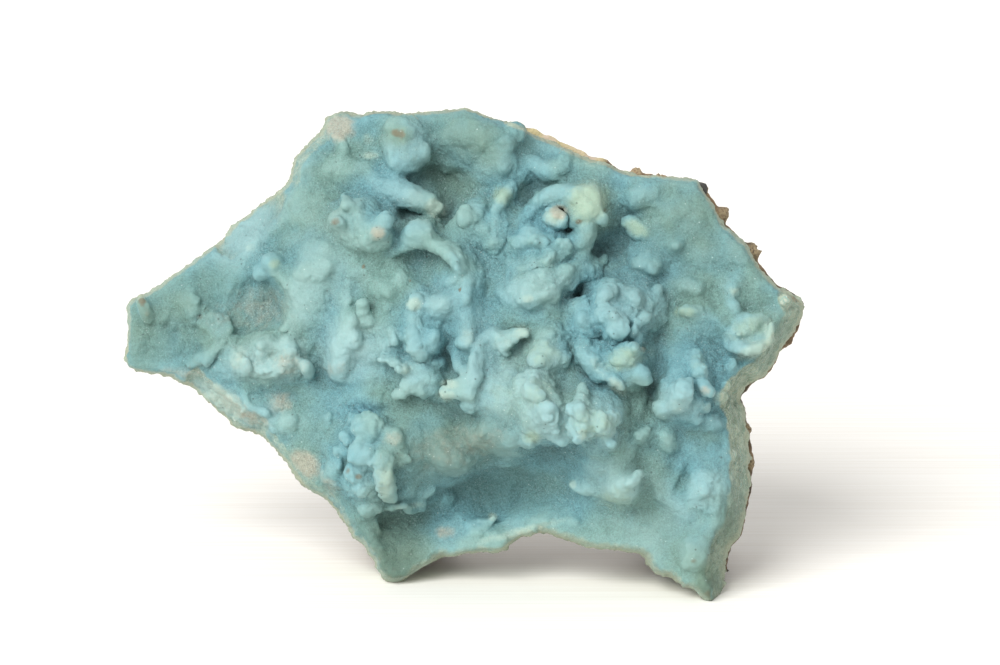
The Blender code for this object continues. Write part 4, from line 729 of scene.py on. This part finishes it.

# Coloured patches, with painted light and painted shade among them.
PATCHES = {
    # Pale: partly the crust's own paler, dusty stretches, and partly painted light on faces that turn up
    # and to the left, towards the key.
    "pale": [
        (-31, 38.8, 7, 3.6, 1.1, 5), (-39.5, 32, 5.6, 1.8, 1.6, -32), (-33.6, 28.2, 3, 1.4, 1.2, -20),
        (-30, 30, 3, 2, 0.6), (8, 35.5, 9, 8, 0.8, -15), (13, 30, 6, 5, 0.8), (12, 50, 8, 4, 0.5, 8),
        (-34.6, 59.8, 7.5, 3.4, 1.3, 46), (-17.5, 40.5, 7, 5, 1), (-22, 55, 5, 11, 0.6, 5),
        (-32, 39, 7, 3.4, 0.7), (12, 33, 8, 6, 0.6), (24, 19, 6, 4, 0.7), (20, 29, 6, 5, 0.6),
        (26, 47, 7, 4, 0.5), (30, 12, 9, 7, 0.5), (-8, 64.5, 7, 3, 0.6, -20), (-9, 72.5, 4, 4, 0.4),
        (34, 32, 4, 3, 0.6), (-4, 47.5, 5, 4, 0.5), (46, 42.5, 5, 3, 0.6, 22), (-14, 18, 3, 6, 0.5),
        (4, 42, 5, 3, 0.6), (38.5, 17.5, 4, 4, 0.5), (-9, 37, 5, 4, 0.5), (-24.5, 50.5, 3.4, 9, 0.7, -25),
    ],
    "cream": [
        (-39.2, 31.8, 5.4, 2.2, 1.1, -32), (-33.4, 28.4, 3, 1.2, 0.8, -20), (-36, 38.8, 1.6, 2.2, 0.6),
        (19.8, 63.8, 3, 3, 0.9), (-30.2, 39, 4, 2.2, 0.4), (-4.6, 62.6, 2, 1.6, 1, -35),
        (-7.6, 64.4, 2, 1.6, 0.4, -20), (-7.9, 47.3, 1.4, 1.3, 0.9), (0.5, 42.2, 1.6, 1.8, 0.5),
        (9.2, 42.9, 1.8, 1.3, 0.7, 20), (6.2, 41.2, 2.4, 2.4, 0.4), (-2.4, 34.6, 1.6, 1, 0.9),
        (-2.8, 32.8, 1.8, 1.2, 0.8), (-12.4, 18.8, 1.6, 3.4, 0.7, 5), (-11.6, 25.8, 1.7, 1.6, 0.5),
        (24.3, 34.3, 2.2, 1.2, 0.8, -45), (21.4, 37.2, 2.6, 1.4, 0.5, -45), (18.8, 26.7, 1.2, 1.2, 0.6),
        (-9.2, 37, 1.2, 1.2, 0.6), (-34.3, 56.3, 1.2, 1, 0.5), (-15, 71.2, 1.6, 0.8, 0.8),
        (-15.3, 73.8, 1.2, 1, 0.6), (7.2, 76.4, 1.2, 0.9, 0.9), (-3, 78.4, 7, 0.9, 0.8, 2),
        (40.5, 32.4, 1.2, 1.2, 0.7), (17.4, 18.6, 0.8, 0.8, 0.8), (43, 49.3, 1, 0.9, 0.7),
        (14.4, 61.1, 1.9, 1.7, 0.8), (47, 40.2, 4, 1.5, 0.9, 20), (48.6, 43, 1.2, 2.2, 0.8, 10),
        (9, 11, 9, 0.8, 0.7, 15), (24, 69.3, 2.2, 0.8, 0.7, -20), (20, 70, 2, 0.8, 0.6, -20),
        (4.6, 13.3, 0.9, 0.9, 0.8), (38.4, 31, 1.1, 1.1, 0.5), (33.4, 31, 2, 1.4, 0.4),
        (-8.5, 15, 3.2, 0.8, 0.5, 5), (10.2, 48.2, 1.2, 0.9, 0.7), (52, 47.4, 1.4, 1.2, 0.5),
    ],
    "lime": [
        (-30.2, 53.8, 1, 1, 0.8), (19.8, 63.4, 3.6, 3.6, 1), (6.2, 64.7, 1.9, 1.8, 0.8),
        (25.4, 38.6, 3.6, 2.2, 0.75, 15), (27.6, 59.4, 2.4, 1.2, 0.8, -30), (35.2, 46.1, 2.2, 1, 0.7),
        (11.6, 33.4, 3.2, 3, 0.5), (12.6, 39.6, 3.2, 2.6, 0.5), (10.8, 26.2, 1.6, 1.2, 0.8),
        (21, 28.4, 5, 3.2, 0.55), (24.2, 16.4, 3.4, 2.2, 0.5), (-12.6, 20, 2.4, 4, 0.4, 10),
        (12.6, 53.8, 1.4, 1.4, 0.3), (37.4, 38, 1.8, 2.4, 0.4), (-8.8, 71.6, 2.6, 2, 0.3),
        (45.5, 43.6, 4.6, 2.2, 0.6, 25), (-10.2, 74.2, 2.2, 2, 0.4), (14.5, 61.2, 1.8, 1.4, 0.4),
        (8.4, 34, 8, 6, 0.3), (22, 53.6, 1.8, 1.6, 0.3), (-19, 75.6, 2, 1.4, 0.2),
    ],
    "rust": [
        (39.6, 0.4, 2.6, 2.4, 0.55), (43.4, 8, 2.2, 6, 0.3), (-12, 4, 3, 2, 0.4),
        (52.9, 48.2, 1.8, 0.9, 0.9, -35), (37.9, 66, 0.8, 1.6, 0.8, 30), (53.9, 46, 0.6, 1.4, 0.6, 15),
        (-10.5, 74.5, 1.5, 0.9, 0.8, -15), (-20.4, 60.4, 1, 0.9, 0.7), (18.3, 60.4, 0.7, 0.6, 0.7),
        (28.5, 40.1, 0.9, 0.7, 0.6), (-51.7, 47.8, 0.9, 0.9, 0.8), (-51, 46, 0.8, 1.4, 0.5, 10),
        (-16.8, 19.9, 0.8, 0.6, 0.7), (22.6, 62.2, 0.6, 0.7, 0.5), (-33.6, 28.4, 1.8, 1, 0.6, -20),
        (-11, 2.8, 2.2, 0.9, 0.5), (-18.6, 20.8, 0.7, 0.7, 0.6), (-13.2, 23, 0.4, 0.4, 0.6),
        (-20.6, 75.6, 1.4, 1.2, 0.3), (-28.5, 38.5, 1.6, 1, 0.3), (-42.4, 45.2, 0.9, 0.8, 0.5),
        (-44.5, 37.2, 1.2, 0.7, 0.4), (-16, 53.3, 0.3, 0.3, 1.2), (-8.5, 51, 0.25, 0.25, 0.9),
        (-0.6, 49.7, 0.25, 0.25, 1), (36.6, 6.4, 0.9, 0.7, 0.5),
    ],
    "blush": [
        (15.2, 62, 1.5, 1.2, 1), (-1, 25, 9, 4, 0.4, 12), (-38, 45.5, 5, 3, 0.3),
        (-33, 46.6, 6.6, 4.6, 0.4), (-20.3, 75.8, 3, 2.6, 1), (-38.5, 31.4, 5.8, 2.6, 0.45, -32),
        (-29.5, 31.6, 2.4, 2.2, 0.6), (-25.6, 21.6, 3.2, 2.4, 0.9, -40), (-11.2, 25.9, 1.8, 1.4, 0.5),
        (-3, 10.8, 1.8, 1.2, 0.7), (-13.6, 58.6, 1.4, 1.2, 0.8), (-20.6, 37, 2.6, 2, 0.35),
        (-34, 38, 4, 3, 0.3), (-28, 37.6, 3.4, 2.6, 0.45), (38.2, 33.6, 1, 1, 0.6),
        (-46, 36.2, 4, 1.2, 0.5, -5), (-21.5, 18.2, 2.4, 1.4, 0.5, -40), (-34, 29, 3, 1.2, 0.7, -20),
    ],
    # Moss: a duller olive green, partly the crust's own and partly painted shade on the top dome, the right
    # plateau and the left foot.
    "moss": [
        (-41, 49.5, 7, 5, 0.6, 30), (-44, 41, 8, 5, 0.4), (-35, 45, 8, 5, 0.4), (38, 68, 2, 2, 0.6),
        (-12, 8, 7, 8, 0.9), (34, 46, 6, 4, 0.3), (2, 74, 9, 5, 0.6, -5), (37, 59, 9, 7, 0.45, -30),
        (-10.3, 74.3, 2.3, 2, 0.9), (-14.5, 8, 6, 7, 0.8, 20), (-3, 67, 5, 6, 0.5),
        (6, 17, 12, 3.5, 0.4, 5), (-51.5, 43, 6, 7, 0.7), (-11.5, 5, 6, 6.5, 1.1),
        (-2, 25, 11, 4.5, 0.7, 12), (39.8, 2.2, 3.4, 5, 1.4), (-46, 45, 7, 6, 0.4), (43.4, 10, 3.4, 8, 1),
        (50.5, 41.5, 4, 6, 0.7, -30), (-25, 62, 8, 12, 0.3), (41, 57, 7, 6, 0.35, -40), (36, 8, 6, 5, 0.4),
        (-9, 20, 5, 4, 0.3), (33, 64, 7, 3.4, 0.3), (-20, 10, 6, 6, 0.4),
    ],
    # Painted shade: darker patches on the feet, the right mound and plateau, the top dome and the lower
    # stretch.
    "painted_shade": [
        (-11.5, 7.5, 5, 7, 0.5), (30, 52, 9, 7, 0.2), (36, 60, 9, 6, 0.16, -30), (0, 72, 9, 5, 0.16),
        (-1, 24, 10, 6, 0.3, 10), (43, 9, 4, 8, 0.4), (39.8, 1, 3, 3.6, 0.6), (-46, 44, 8, 6, 0.12),
        (2, 45, 3, 8, 0.1),
    ],
    "sky": [
        (-22, 50, 5, 9, 0.3), (8, 47, 8, 4, 0.4), (5, 16.5, 14, 5, 0.8, 5), (-15.5, 27.5, 4.5, 3, 0.6),
        (-20.9, 20.6, 3, 3, 0.5), (13, 57.5, 5, 4, 0.8), (14, 15, 8, 4, 0.8), (3, 57, 6, 7, 0.6),
        (-8, 41, 6, 7, 0.5), (-3.5, 16.8, 2.6, 2.4, 0.8), (-16, 30.6, 3.4, 1.8, 1), (18, 52, 7, 5, 0.5),
        (30, 51, 6, 5, 0.5), (22, 44, 7, 7, 0.4), (38, 36, 5, 6, 0.4), (4, 47, 6, 6, 0.4),
        (-10, 68, 4, 4, 0.4), (-19, 25, 4, 5, 0.4), (42, 63, 5, 3, 0.4, -45), (31, 26, 5, 3, 0.4),
    ],
}

CRUST_TINTS = {
    "low blue": (0.119, 0.272, 0.298),
    "low green": (0.148, 0.272, 0.243),
    "high blue": (0.158, 0.330, 0.354),
    "high green": (0.188, 0.328, 0.298),
    "pale": (0.300, 0.462, 0.458),
    "sky": (0.128, 0.315, 0.370),
    "moss": (0.118, 0.192, 0.124),
    "grey": (0.115, 0.170, 0.160),
    # A near black for the hollows: painted shade, with a little dust.
    "dust_and_shade": (0.050, 0.084, 0.082),
    "cream": (0.370, 0.480, 0.400),
    "lime": (0.290, 0.400, 0.290),
    "blush": (0.370, 0.345, 0.265),
    "dark layer": (0.205, 0.255, 0.165),
    "light layer": (0.380, 0.430, 0.310),
    "green layer": (0.240, 0.350, 0.290),
    "white layer": (0.450, 0.470, 0.380),
    "rim": (0.370, 0.400, 0.290),
    # The colour of the painted shade.
    "painted_shade": (0.070, 0.108, 0.080),
    "rust": (0.140, 0.100, 0.050),
    "sparkle": (0.330, 0.470, 0.465),
    "crystals": (0.560, 0.680, 0.650),
    "pits": (0.050, 0.080, 0.075),
}


def terraces(a, b):
    """Height of the ground that rises beside each ledge line and falls away again behind it."""
    height = np.zeros(a.shape)
    for rise, reach, width, line in LEDGES:
        distance, place, side = beside(a, b, line)
        inward = distance * side
        step_up = 1 / (1 + np.exp(-3 * inward / width))
        fade = np.sin(np.pi * np.clip(place / (len(line) - 1), 0.02, 0.98)) ** 0.5
        height = height + rise * step_up * fade * np.exp(-((np.maximum(inward, 0) / reach) ** 2))
    return height


def bare_face(a, b):
    """Height of the crust without its knobs and stems."""
    lumps = [spot[4] * np.clip(1 - ellipse(a, b, spot), 0, 1) ** 0.8 for spot in LUMPS]
    swells = sum(spread(a, b, spot) for spot in SWELLS)
    return FACE_TILT * a + terraces(a, b) + swells + np.max(lumps, axis=0)


def face(a, b):
    """Height of the crust, with a skirt round each knob and its edges broken away."""
    skirts = [
        (across, up, SKIRT_WIDTH * radius, SKIRT_WIDTH * radius, 0.2 * radius + 0.85 * out)
        for across, up, radius, out in KNOBS
    ]
    height = bare_face(a, b) + np.maximum(strongest(a, b, skirts), 0)
    height = np.maximum(height, rock_line(a, b) + CRUST_LEAST)
    distance, band = edge_distance(a, b)
    share = np.clip(distance / band, 0, 1)
    straight = BROKEN_EDGE + (1 - BROKEN_EDGE) * share
    rounded = ROUND_EDGE + (1 - ROUND_EDGE) * np.sqrt(1 - (1 - share) ** 2)
    profile = rounded + (straight - rounded) * ramp(band, *SLANT_WIDTH)
    return rock_line(a, b) + (height - rock_line(a, b)) * profile


def on_face(across, up, out):
    """A place over the bare face, in the face frame."""
    return across, up, float(bare_face(np.array(across), np.array(up))) + out


def mesh_of(shape):
    """A bmesh as a mesh. The bmesh is freed."""
    mesh = bpy.data.meshes.new("shape")
    shape.to_mesh(mesh)
    shape.free()
    return mesh


def knobs_mesh():
    """Every knob, and a round end for every stem, as balls in the face frame."""
    ends = [(across, up, radius, out) for stem in STEMS for across, up, out, radius in (stem[0], stem[-1])]
    shape = bmesh.new()
    for across, up, radius, out in KNOBS + ends:
        ball = bmesh.ops.create_icosphere(shape, subdivisions=3, radius=radius)
        bmesh.ops.translate(shape, vec=on_face(across, up, out), verts=ball["verts"])
    return mesh_of(shape)


def stems_mesh():
    """Every stem as a tube with a radius of its own at each point, in the face frame."""
    curve = bpy.data.curves.new("stems", "CURVE")
    curve.dimensions = "3D"
    curve.bevel_depth = 1.0
    curve.bevel_resolution = 5
    curve.resolution_u = 10
    curve.use_fill_caps = True
    for stem in STEMS:
        spline = curve.splines.new("BEZIER")
        spline.bezier_points.add(len(stem) - 1)
        for point, (across, up, out, radius) in zip(spline.bezier_points, stem):
            point.co = on_face(across, up, out)
            point.handle_left_type = point.handle_right_type = "AUTO"
            point.radius = radius
    return baked(add_object("stems", curve))


def joined(meshes):
    """Several meshes as one, not yet fused."""
    shape = bmesh.new()
    for mesh in meshes:
        shape.from_mesh(mesh)
        bpy.data.meshes.remove(mesh)
    return mesh_of(shape)


def neighbour_mean(mesh, values, rounds):
    """Values of the vertices, averaged with their neighbours a number of times."""
    ends = np.empty(len(mesh.edges) * 2, np.int64)
    mesh.edges.foreach_get("vertices", ends)
    first, second = ends.reshape(-1, 2).T
    start, end = np.concatenate([first, second]), np.concatenate([second, first])
    count = np.bincount(start, minlength=len(values))
    for _ in range(rounds):
        sums = [np.bincount(start, column[end], len(column)) for column in values.T]
        values = np.stack(sums, 1) / count[:, None]
    return values


def surroundings(points, reach):
    """The mean height of the face around each vertex, from the highest point of every cell."""
    low = points[:, :2].min(0) - 1
    column, row = ((points[:, :2] - low) / SURVEY_CELL).astype(int).T
    top = np.full((column.max() + 2, row.max() + 2), -np.inf)
    np.maximum.at(top, (column, row), points[:, 2])
    known = np.isfinite(top)
    offsets = np.arange(-3 * reach, 3 * reach + SURVEY_CELL, SURVEY_CELL)
    weights = np.exp(-((offsets / reach) ** 2))

    def blurred(grid):
        for axis in (0, 1):
            grid = np.apply_along_axis(lambda line: np.convolve(line, weights, "same"), axis, grid)
        return grid

    mean = blurred(np.where(known, top, 0)) / np.maximum(blurred(known.astype(float)), 1e-6)
    return mean[column, row]


def ruggedness(a, b):
    return np.maximum(strongest(a, b, RUGGED, PATCH_EDGE), RUGGED_FLOOR)


def crumbled(a, b):
    """Height of the bumps scattered by chance."""
    chance = np.random.default_rng(CRUMB_SEED)
    height = np.zeros(a.shape)
    for across, up, wide, tall, turn, count, smallest, largest in CRUMBS:
        cos, sin = math.cos(math.radians(turn)), math.sin(math.radians(turn))
        for _ in range(count):
            angle, reach = chance.uniform(0, 2 * math.pi), math.sqrt(chance.uniform(0, 1))
            right, rise = reach * wide * math.cos(angle), reach * tall * math.sin(angle)
            radius = smallest + (largest - smallest) * chance.uniform(0, 1) ** 2
            off_across = a - (across + right * cos - rise * sin)
            off_up = b - (up + right * sin + rise * cos)
            near = (np.abs(off_across) < radius) & (np.abs(off_up) < radius)
            share = 1 - (off_across[near] ** 2 + off_up[near] ** 2) / radius**2
            height[near] = np.maximum(height[near], CRUMB_HEIGHT * radius * np.clip(share, 0, 1) ** 1.1)
    return height


def fibres(a, b):
    """Depth of the furrows between the fibres of the round fans."""
    depth = np.zeros(a.shape)
    for across, up, radius, count, furrow in ROSETTES:
        reach = np.hypot(a - across, b - up) / radius
        around = np.arctan2(b - up, a - across)
        wave = np.abs(np.sin(around * count / 2 + 1.5 * np.sin(3 * around)))
        depth += furrow * (1 - wave) * ramp(3 * reach * (1 - reach), 0, 0.6)
    return depth


def warped(points):
    """Points moved by soft noise, so that no knob or finger stays quite regular."""
    a, b, c = points.T
    distance, _ = edge_distance(a, b)
    inner = np.clip(distance / 3, 0.3, 1) * ramp(c - rock_line(a, b), 1, 3)
    for size, reach in WARPS:
        shift = np.array([noise.noise_vector(Vector(point) / size) for point in points])
        points = points + shift * (reach * inner)[:, None]
    return points


def plate_mesh():
    """The face and back of the crust, without its knobs and stems, in the face frame."""
    plate = slab(FACE_CELL, 0.0)
    points = coordinates(plate)
    a, b, _ = points.T
    distance, _ = edge_distance(a, b)
    lumps = (np.abs(noise_at(points * (1, 1, 0), SWELLING)) - 0.3) * ruggedness(a, b) + crumbled(a, b)
    lumps *= np.clip(distance / CALM_EDGE, 0.05, 1)
    pushed_out(plate, rock_line, lambda a, b: face(a, b) + lumps)
    points = coordinates(plate)
    steep = ramp(np.abs(coordinates(plate, "normal")[:, 2]), *STEEP_FACING) * (distance > 3)
    smooth = neighbour_mean(plate, points, STEEP_ROUNDS)
    set_coordinates(plate, points + (smooth - points) * steep[:, None])
    return plate


def fused_mesh():
    """The plate, its knobs and its stems as one skin, with its creases softened."""
    solid = add_object("crust", joined([plate_mesh(), knobs_mesh(), stems_mesh()]))
    modify(solid, "REMESH", mode="VOXEL", voxel_size=FUSE_CELL)
    modify(solid, "SMOOTH", factor=0.5, iterations=2)
    mesh = baked(solid)
    points = coordinates(mesh)
    smooth = neighbour_mean(mesh, points, CREASE_ROUNDS)
    hollow = np.einsum("ij,ij->i", smooth - points, coordinates(mesh, "normal"))
    points += (smooth - points) * (CREASE_SHARE * ramp(hollow, 0, CREASE_DEPTH))[:, None]
    set_coordinates(mesh, warped(points))
    return mesh


def make_crust():
    """The crust's mesh, its points in the face frame, and 1 on its face and 0 on its back."""
    mesh = fused_mesh()
    points, normals = coordinates(mesh), coordinates(mesh, "normal")
    a, b, c = points.T
    facing = np.abs(normals[:, 2])
    distance, band = edge_distance(a, b)
    rugged = ruggedness(a, b)
    near, far = c - surroundings(points, NEAR), c - surroundings(points, FAR)
    raised = np.clip(near / RELIEF + far / BROAD_RELIEF + LEVEL_RAISED, 0, 1)
    raised = np.maximum(raised, EDGE_RAISED * ramp(distance, *LIGHT_REACH))
    broken = ramp(distance / band, *BREAK_SHARE) * ramp(band, *BREAK_WIDTH)
    give(mesh, "raised", raised)
    give(mesh, "deep", ramp(surroundings(points, AROUND) - c, *HOLLOW_DEPTH))
    give(mesh, "rim", ramp(distance / np.where(b < FEET_TOP, FOOT_RIM, TOP_RIM), 1.1, 0.1))
    bulges = np.abs(noise_at(points, BULGES)) + np.abs(noise_at(points, KNOBBLES)) - BULGE_SINK
    lift = (
        bulges * np.minimum(rugged, 0.9) * np.clip(distance / 3, 0.1, 1)
        + np.abs(noise_at(points, NODULES)) * (0.2 + 0.5 * rugged)
        + noise_at(points, SUGAR) * np.clip(1.5 - 1.8 * raised, 0.15, 1)
        + noise_at(points, FRACTURE) * broken
        - fibres(a, b)
    )
    front = ramp(c - rock_line(a, b), *FRONT_HEIGHT)
    points += normals * (lift * front)[:, None]
    wall = ramp(facing, *WALL_FACING) * ramp(distance, *WALL_REACH)
    points += normals * (noise_at(points, JAGS) * wall * ramp(c - rock_line(a, b), 0, 1))[:, None]
    give(mesh, "broken", np.maximum(broken, wall * wall * front))
    give(mesh, "growth", (c - rock_line(a, b)) / 10)
    side = ramp(facing, *SIDE_FACING) * ramp(distance, *SIDE_REACH)
    for name, spots in PATCHES.items():
        give(mesh, name, strongest(a, b, spots, PATCH_EDGE) * (1 - side))
    return mesh, points, front


def triangle_count(piece):
    """How many triangles a piece has after its modifiers."""
    mesh = piece.evaluated_get(bpy.context.evaluated_depsgraph_get()).data
    mesh.calc_loop_triangles()
    return len(mesh.loop_triangles)


def thin_out(piece, hidden, triangles):
    """Thins the faces that never show, and then all of them, down to a number of triangles."""
    group = piece.vertex_groups.new(name="hidden")
    group.add([int(index) for index in np.nonzero(hidden)[0]], 1.0, "REPLACE")
    for vertex_group in ("hidden", ""):
        ratio = min(1.0, triangles / triangle_count(piece))
        modify(piece, "DECIMATE", vertex_group=vertex_group, ratio=ratio)


def crust_finish():
    finish = Finish("aragonite", CRUST_TINTS, roughness=0.8, subsurface_weight=0.2, subsurface_scale=MM)
    finish.shader.inputs["Subsurface Radius"].default_value = (0.6, 1.0, 1.0)
    wide, patchy = finish.noise(16.0, 3.0, 0.55), finish.noise(4.5, 4.0, 0.6)
    mottle, grain = finish.noise(1.4, 3.0, 0.6), finish.noise(0.5, 3.0, 0.7)
    sugar = finish.noise(0.24, 2.0, 0.7)
    raised, deep = finish.given("raised"), finish.given("deep")

    # The growing face: bluer and greener stretches, lighter where it stands out, then its patches.
    greener = wide.step(0.4, 0.6)
    low, high = finish.mix(greener, "low blue", "low green"), finish.mix(greener, "high blue", "high green")
    lighter = (raised + patchy.swing(0.7) + mottle.swing(0.15)).step(0.25, 0.85)
    # Paler patches, more so where the face stands out: partly the crust's own colour, partly painted light.
    pale = (finish.ragged("pale", patchy, 0.7) + raised.swing(0.5)).held()
    moss = finish.ragged("moss", patchy, 0.6).held()
    grey = (0.75 - raised + grain.swing(0.9)).step(0.2, 0.9)
    blush = finish.ragged("blush", mottle, 0.7).step(0.15, 0.85)
    colour = finish.coated(finish.mix(lighter, low, high), {
        "pale": pale * 0.65,
        "sky": finish.ragged("sky", patchy, 0.7).held() * (1.15 - raised) * 0.8,
        # Olive green: partly the crust's own colour, partly painted shade.
        "moss": moss * 0.75,
        "grey": grey * 0.10,
        # The deeper a hollow, the darker it is made: painted shade, with a little dust.
        "dust_and_shade": (deep * 1.2 + grain.swing(0.5)).step(0.25, 0.95) * 0.38,
        "cream": finish.ragged("cream", mottle, 0.7).step(0.2, 0.9) * 0.65,
        "lime": finish.ragged("lime", mottle, 0.7).step(0.15, 0.9) * 0.7,
        "blush": blush * 0.75,
    })

    # The broken edge, with layers of growth, and the stains over both.
    growth = {"W": finish.given("growth") * 16 + mottle * 1.5, "Detail": 2.0}
    layers = finish.node("ShaderNodeTexNoise", {"noise_dimensions": "1D"}, growth, "Fac")
    band = finish.coated(finish.mix(mottle.step(0.35, 0.65), "dark layer", "light layer"), {
        "green layer": layers.step(0.50, 0.66),
        "white layer": layers.step(0.44, 0.34),
    })
    broken = finish.ragged("broken", mottle, 0.5).step(0.25, 0.85) * (1 - finish.given("pale"))
    colour = finish.mix(broken * (1 - blush) * (1 - moss * 0.6) * 0.85, colour, band)
    colour = finish.coated(colour, {
        "rim": finish.ragged("rim", mottle, 0.9).step(0.25, 0.9) * 0.6,
        # Painted shade over the stretches that lie in shadow.
        "painted_shade": finish.ragged("painted_shade", patchy, 0.3).held(),
        "rust": finish.ragged("rust", mottle, 0.7).step(0.25, 0.8) * 0.75,
    })

    # Grains, painted sparkle, single crystals and pits.
    speckle = 0.98 + (grain.swing(0.9) + sugar.swing(1.3)) * (1.15 - raised) * (1 - pale * 0.6)
    colour = finish.coated(finish.scaled(colour, speckle), {
        "sparkle": finish.dots(0.42, 0.30) * (1.0 - raised) * patchy.step(0.4, 0.6) * 0.45,
        "crystals": finish.dots(1.3, 0.11) * mottle.step(0.45, 0.6) * 0.45,
        "pits": finish.dots(1.7, 0.13) * patchy.step(0.45, 0.6) * 0.6,
    })
    finish.feed("Base Color", colour)
    finish.feed("Roughness", 0.75 + grey * 0.2)
    rough = finish.bump(grain * (1.3 - raised) + mottle * 0.6, 0.26)
    finish.feed("Normal", finish.bump(sugar * (1.4 - raised), 0.13, Normal=rough))
    return finish.material


crust_mesh, crust_points, crust_front = make_crust()
stand(crust_mesh, crust_points, SHIFT)
crust = add_object("blue_crust", crust_mesh)
crust_mesh.materials.append(crust_finish())
thin_out(crust, crust_front < 0.05, CRUST_TRIANGLES)
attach(crust, "root")
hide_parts("aragonite_crust")

# The floor that the specimen stands on: a pale board with a faint grain, so wide that it fills the view.

FLOOR_SIZE = 12.0
STREAK_STRETCH = (1.5, 90.0, 1.0)
STREAK_SCALE = 12.0
BOARD_TINTS = {"streak": (0.895, 0.865, 0.805), "board": (0.95, 0.930, 0.885)}

bpy.ops.mesh.primitive_plane_add(size=FLOOR_SIZE)
floor = bpy.context.object
floor.name = "floor"
board = Finish("pale board", BOARD_TINTS, roughness=0.6)
stretched = board.node("ShaderNodeMapping", {}, {"Vector": board.place, "Scale": STREAK_STRETCH})
streak_inputs = {"Vector": stretched, "Scale": STREAK_SCALE, "Detail": 3.0}
streaks = board.node("ShaderNodeTexNoise", {}, streak_inputs, "Fac")
board.feed("Base Color", board.mix(streaks.step(0.3, 0.7), "streak", "board"))
floor.data.materials.append(board.material)

# The light: an even white studio with a soft key from the upper left, and a camera level with the face.

STUDIO_STRENGTH = 0.70
KEY_STRENGTH = 3.4
KEY_SOFTNESS = math.radians(40)
KEY_TURN = (math.radians(42), math.radians(-34), 0)
CAMERA_FAR = 1.5
AIM = (5.76, 42.8, 0.0)  # the middle of the view, in the face frame
VIEW_WIDTH = 160.0  # how much of the face frame the view takes in, in millimetres
SENSOR = 36.0

world = bpy.data.worlds.new("studio")
world.use_nodes = True
world.node_tree.nodes["Background"].inputs["Color"].default_value = (1.0, 1.0, 1.0, 1.0)
world.node_tree.nodes["Background"].inputs["Strength"].default_value = STUDIO_STRENGTH
bpy.context.scene.world = world

key_data = bpy.data.lights.new("key", "SUN")
key_data.energy = KEY_STRENGTH
key_data.angle = KEY_SOFTNESS
key = add_object("key", key_data)
key.rotation_euler = KEY_TURN

camera_data = bpy.data.cameras.new("camera")
camera_data.sensor_width = SENSOR
camera_data.lens = SENSOR * CAMERA_FAR / (VIEW_WIDTH * MM)
camera_data.clip_start = 0.1
camera_data.clip_end = 50.0
camera = add_object("camera", camera_data)
aim = upright(*[np.array(value) for value in AIM])
aim[:2] += SHIFT
camera.location = Vector(aim * MM) + CAMERA_FAR * Vector((0, -math.cos(LEAN), math.sin(LEAN)))
camera.rotation_euler = (math.pi / 2 - LEAN, 0, 0)
bpy.context.scene.camera = camera
bpy.context.scene.view_settings.view_transform = "Standard"
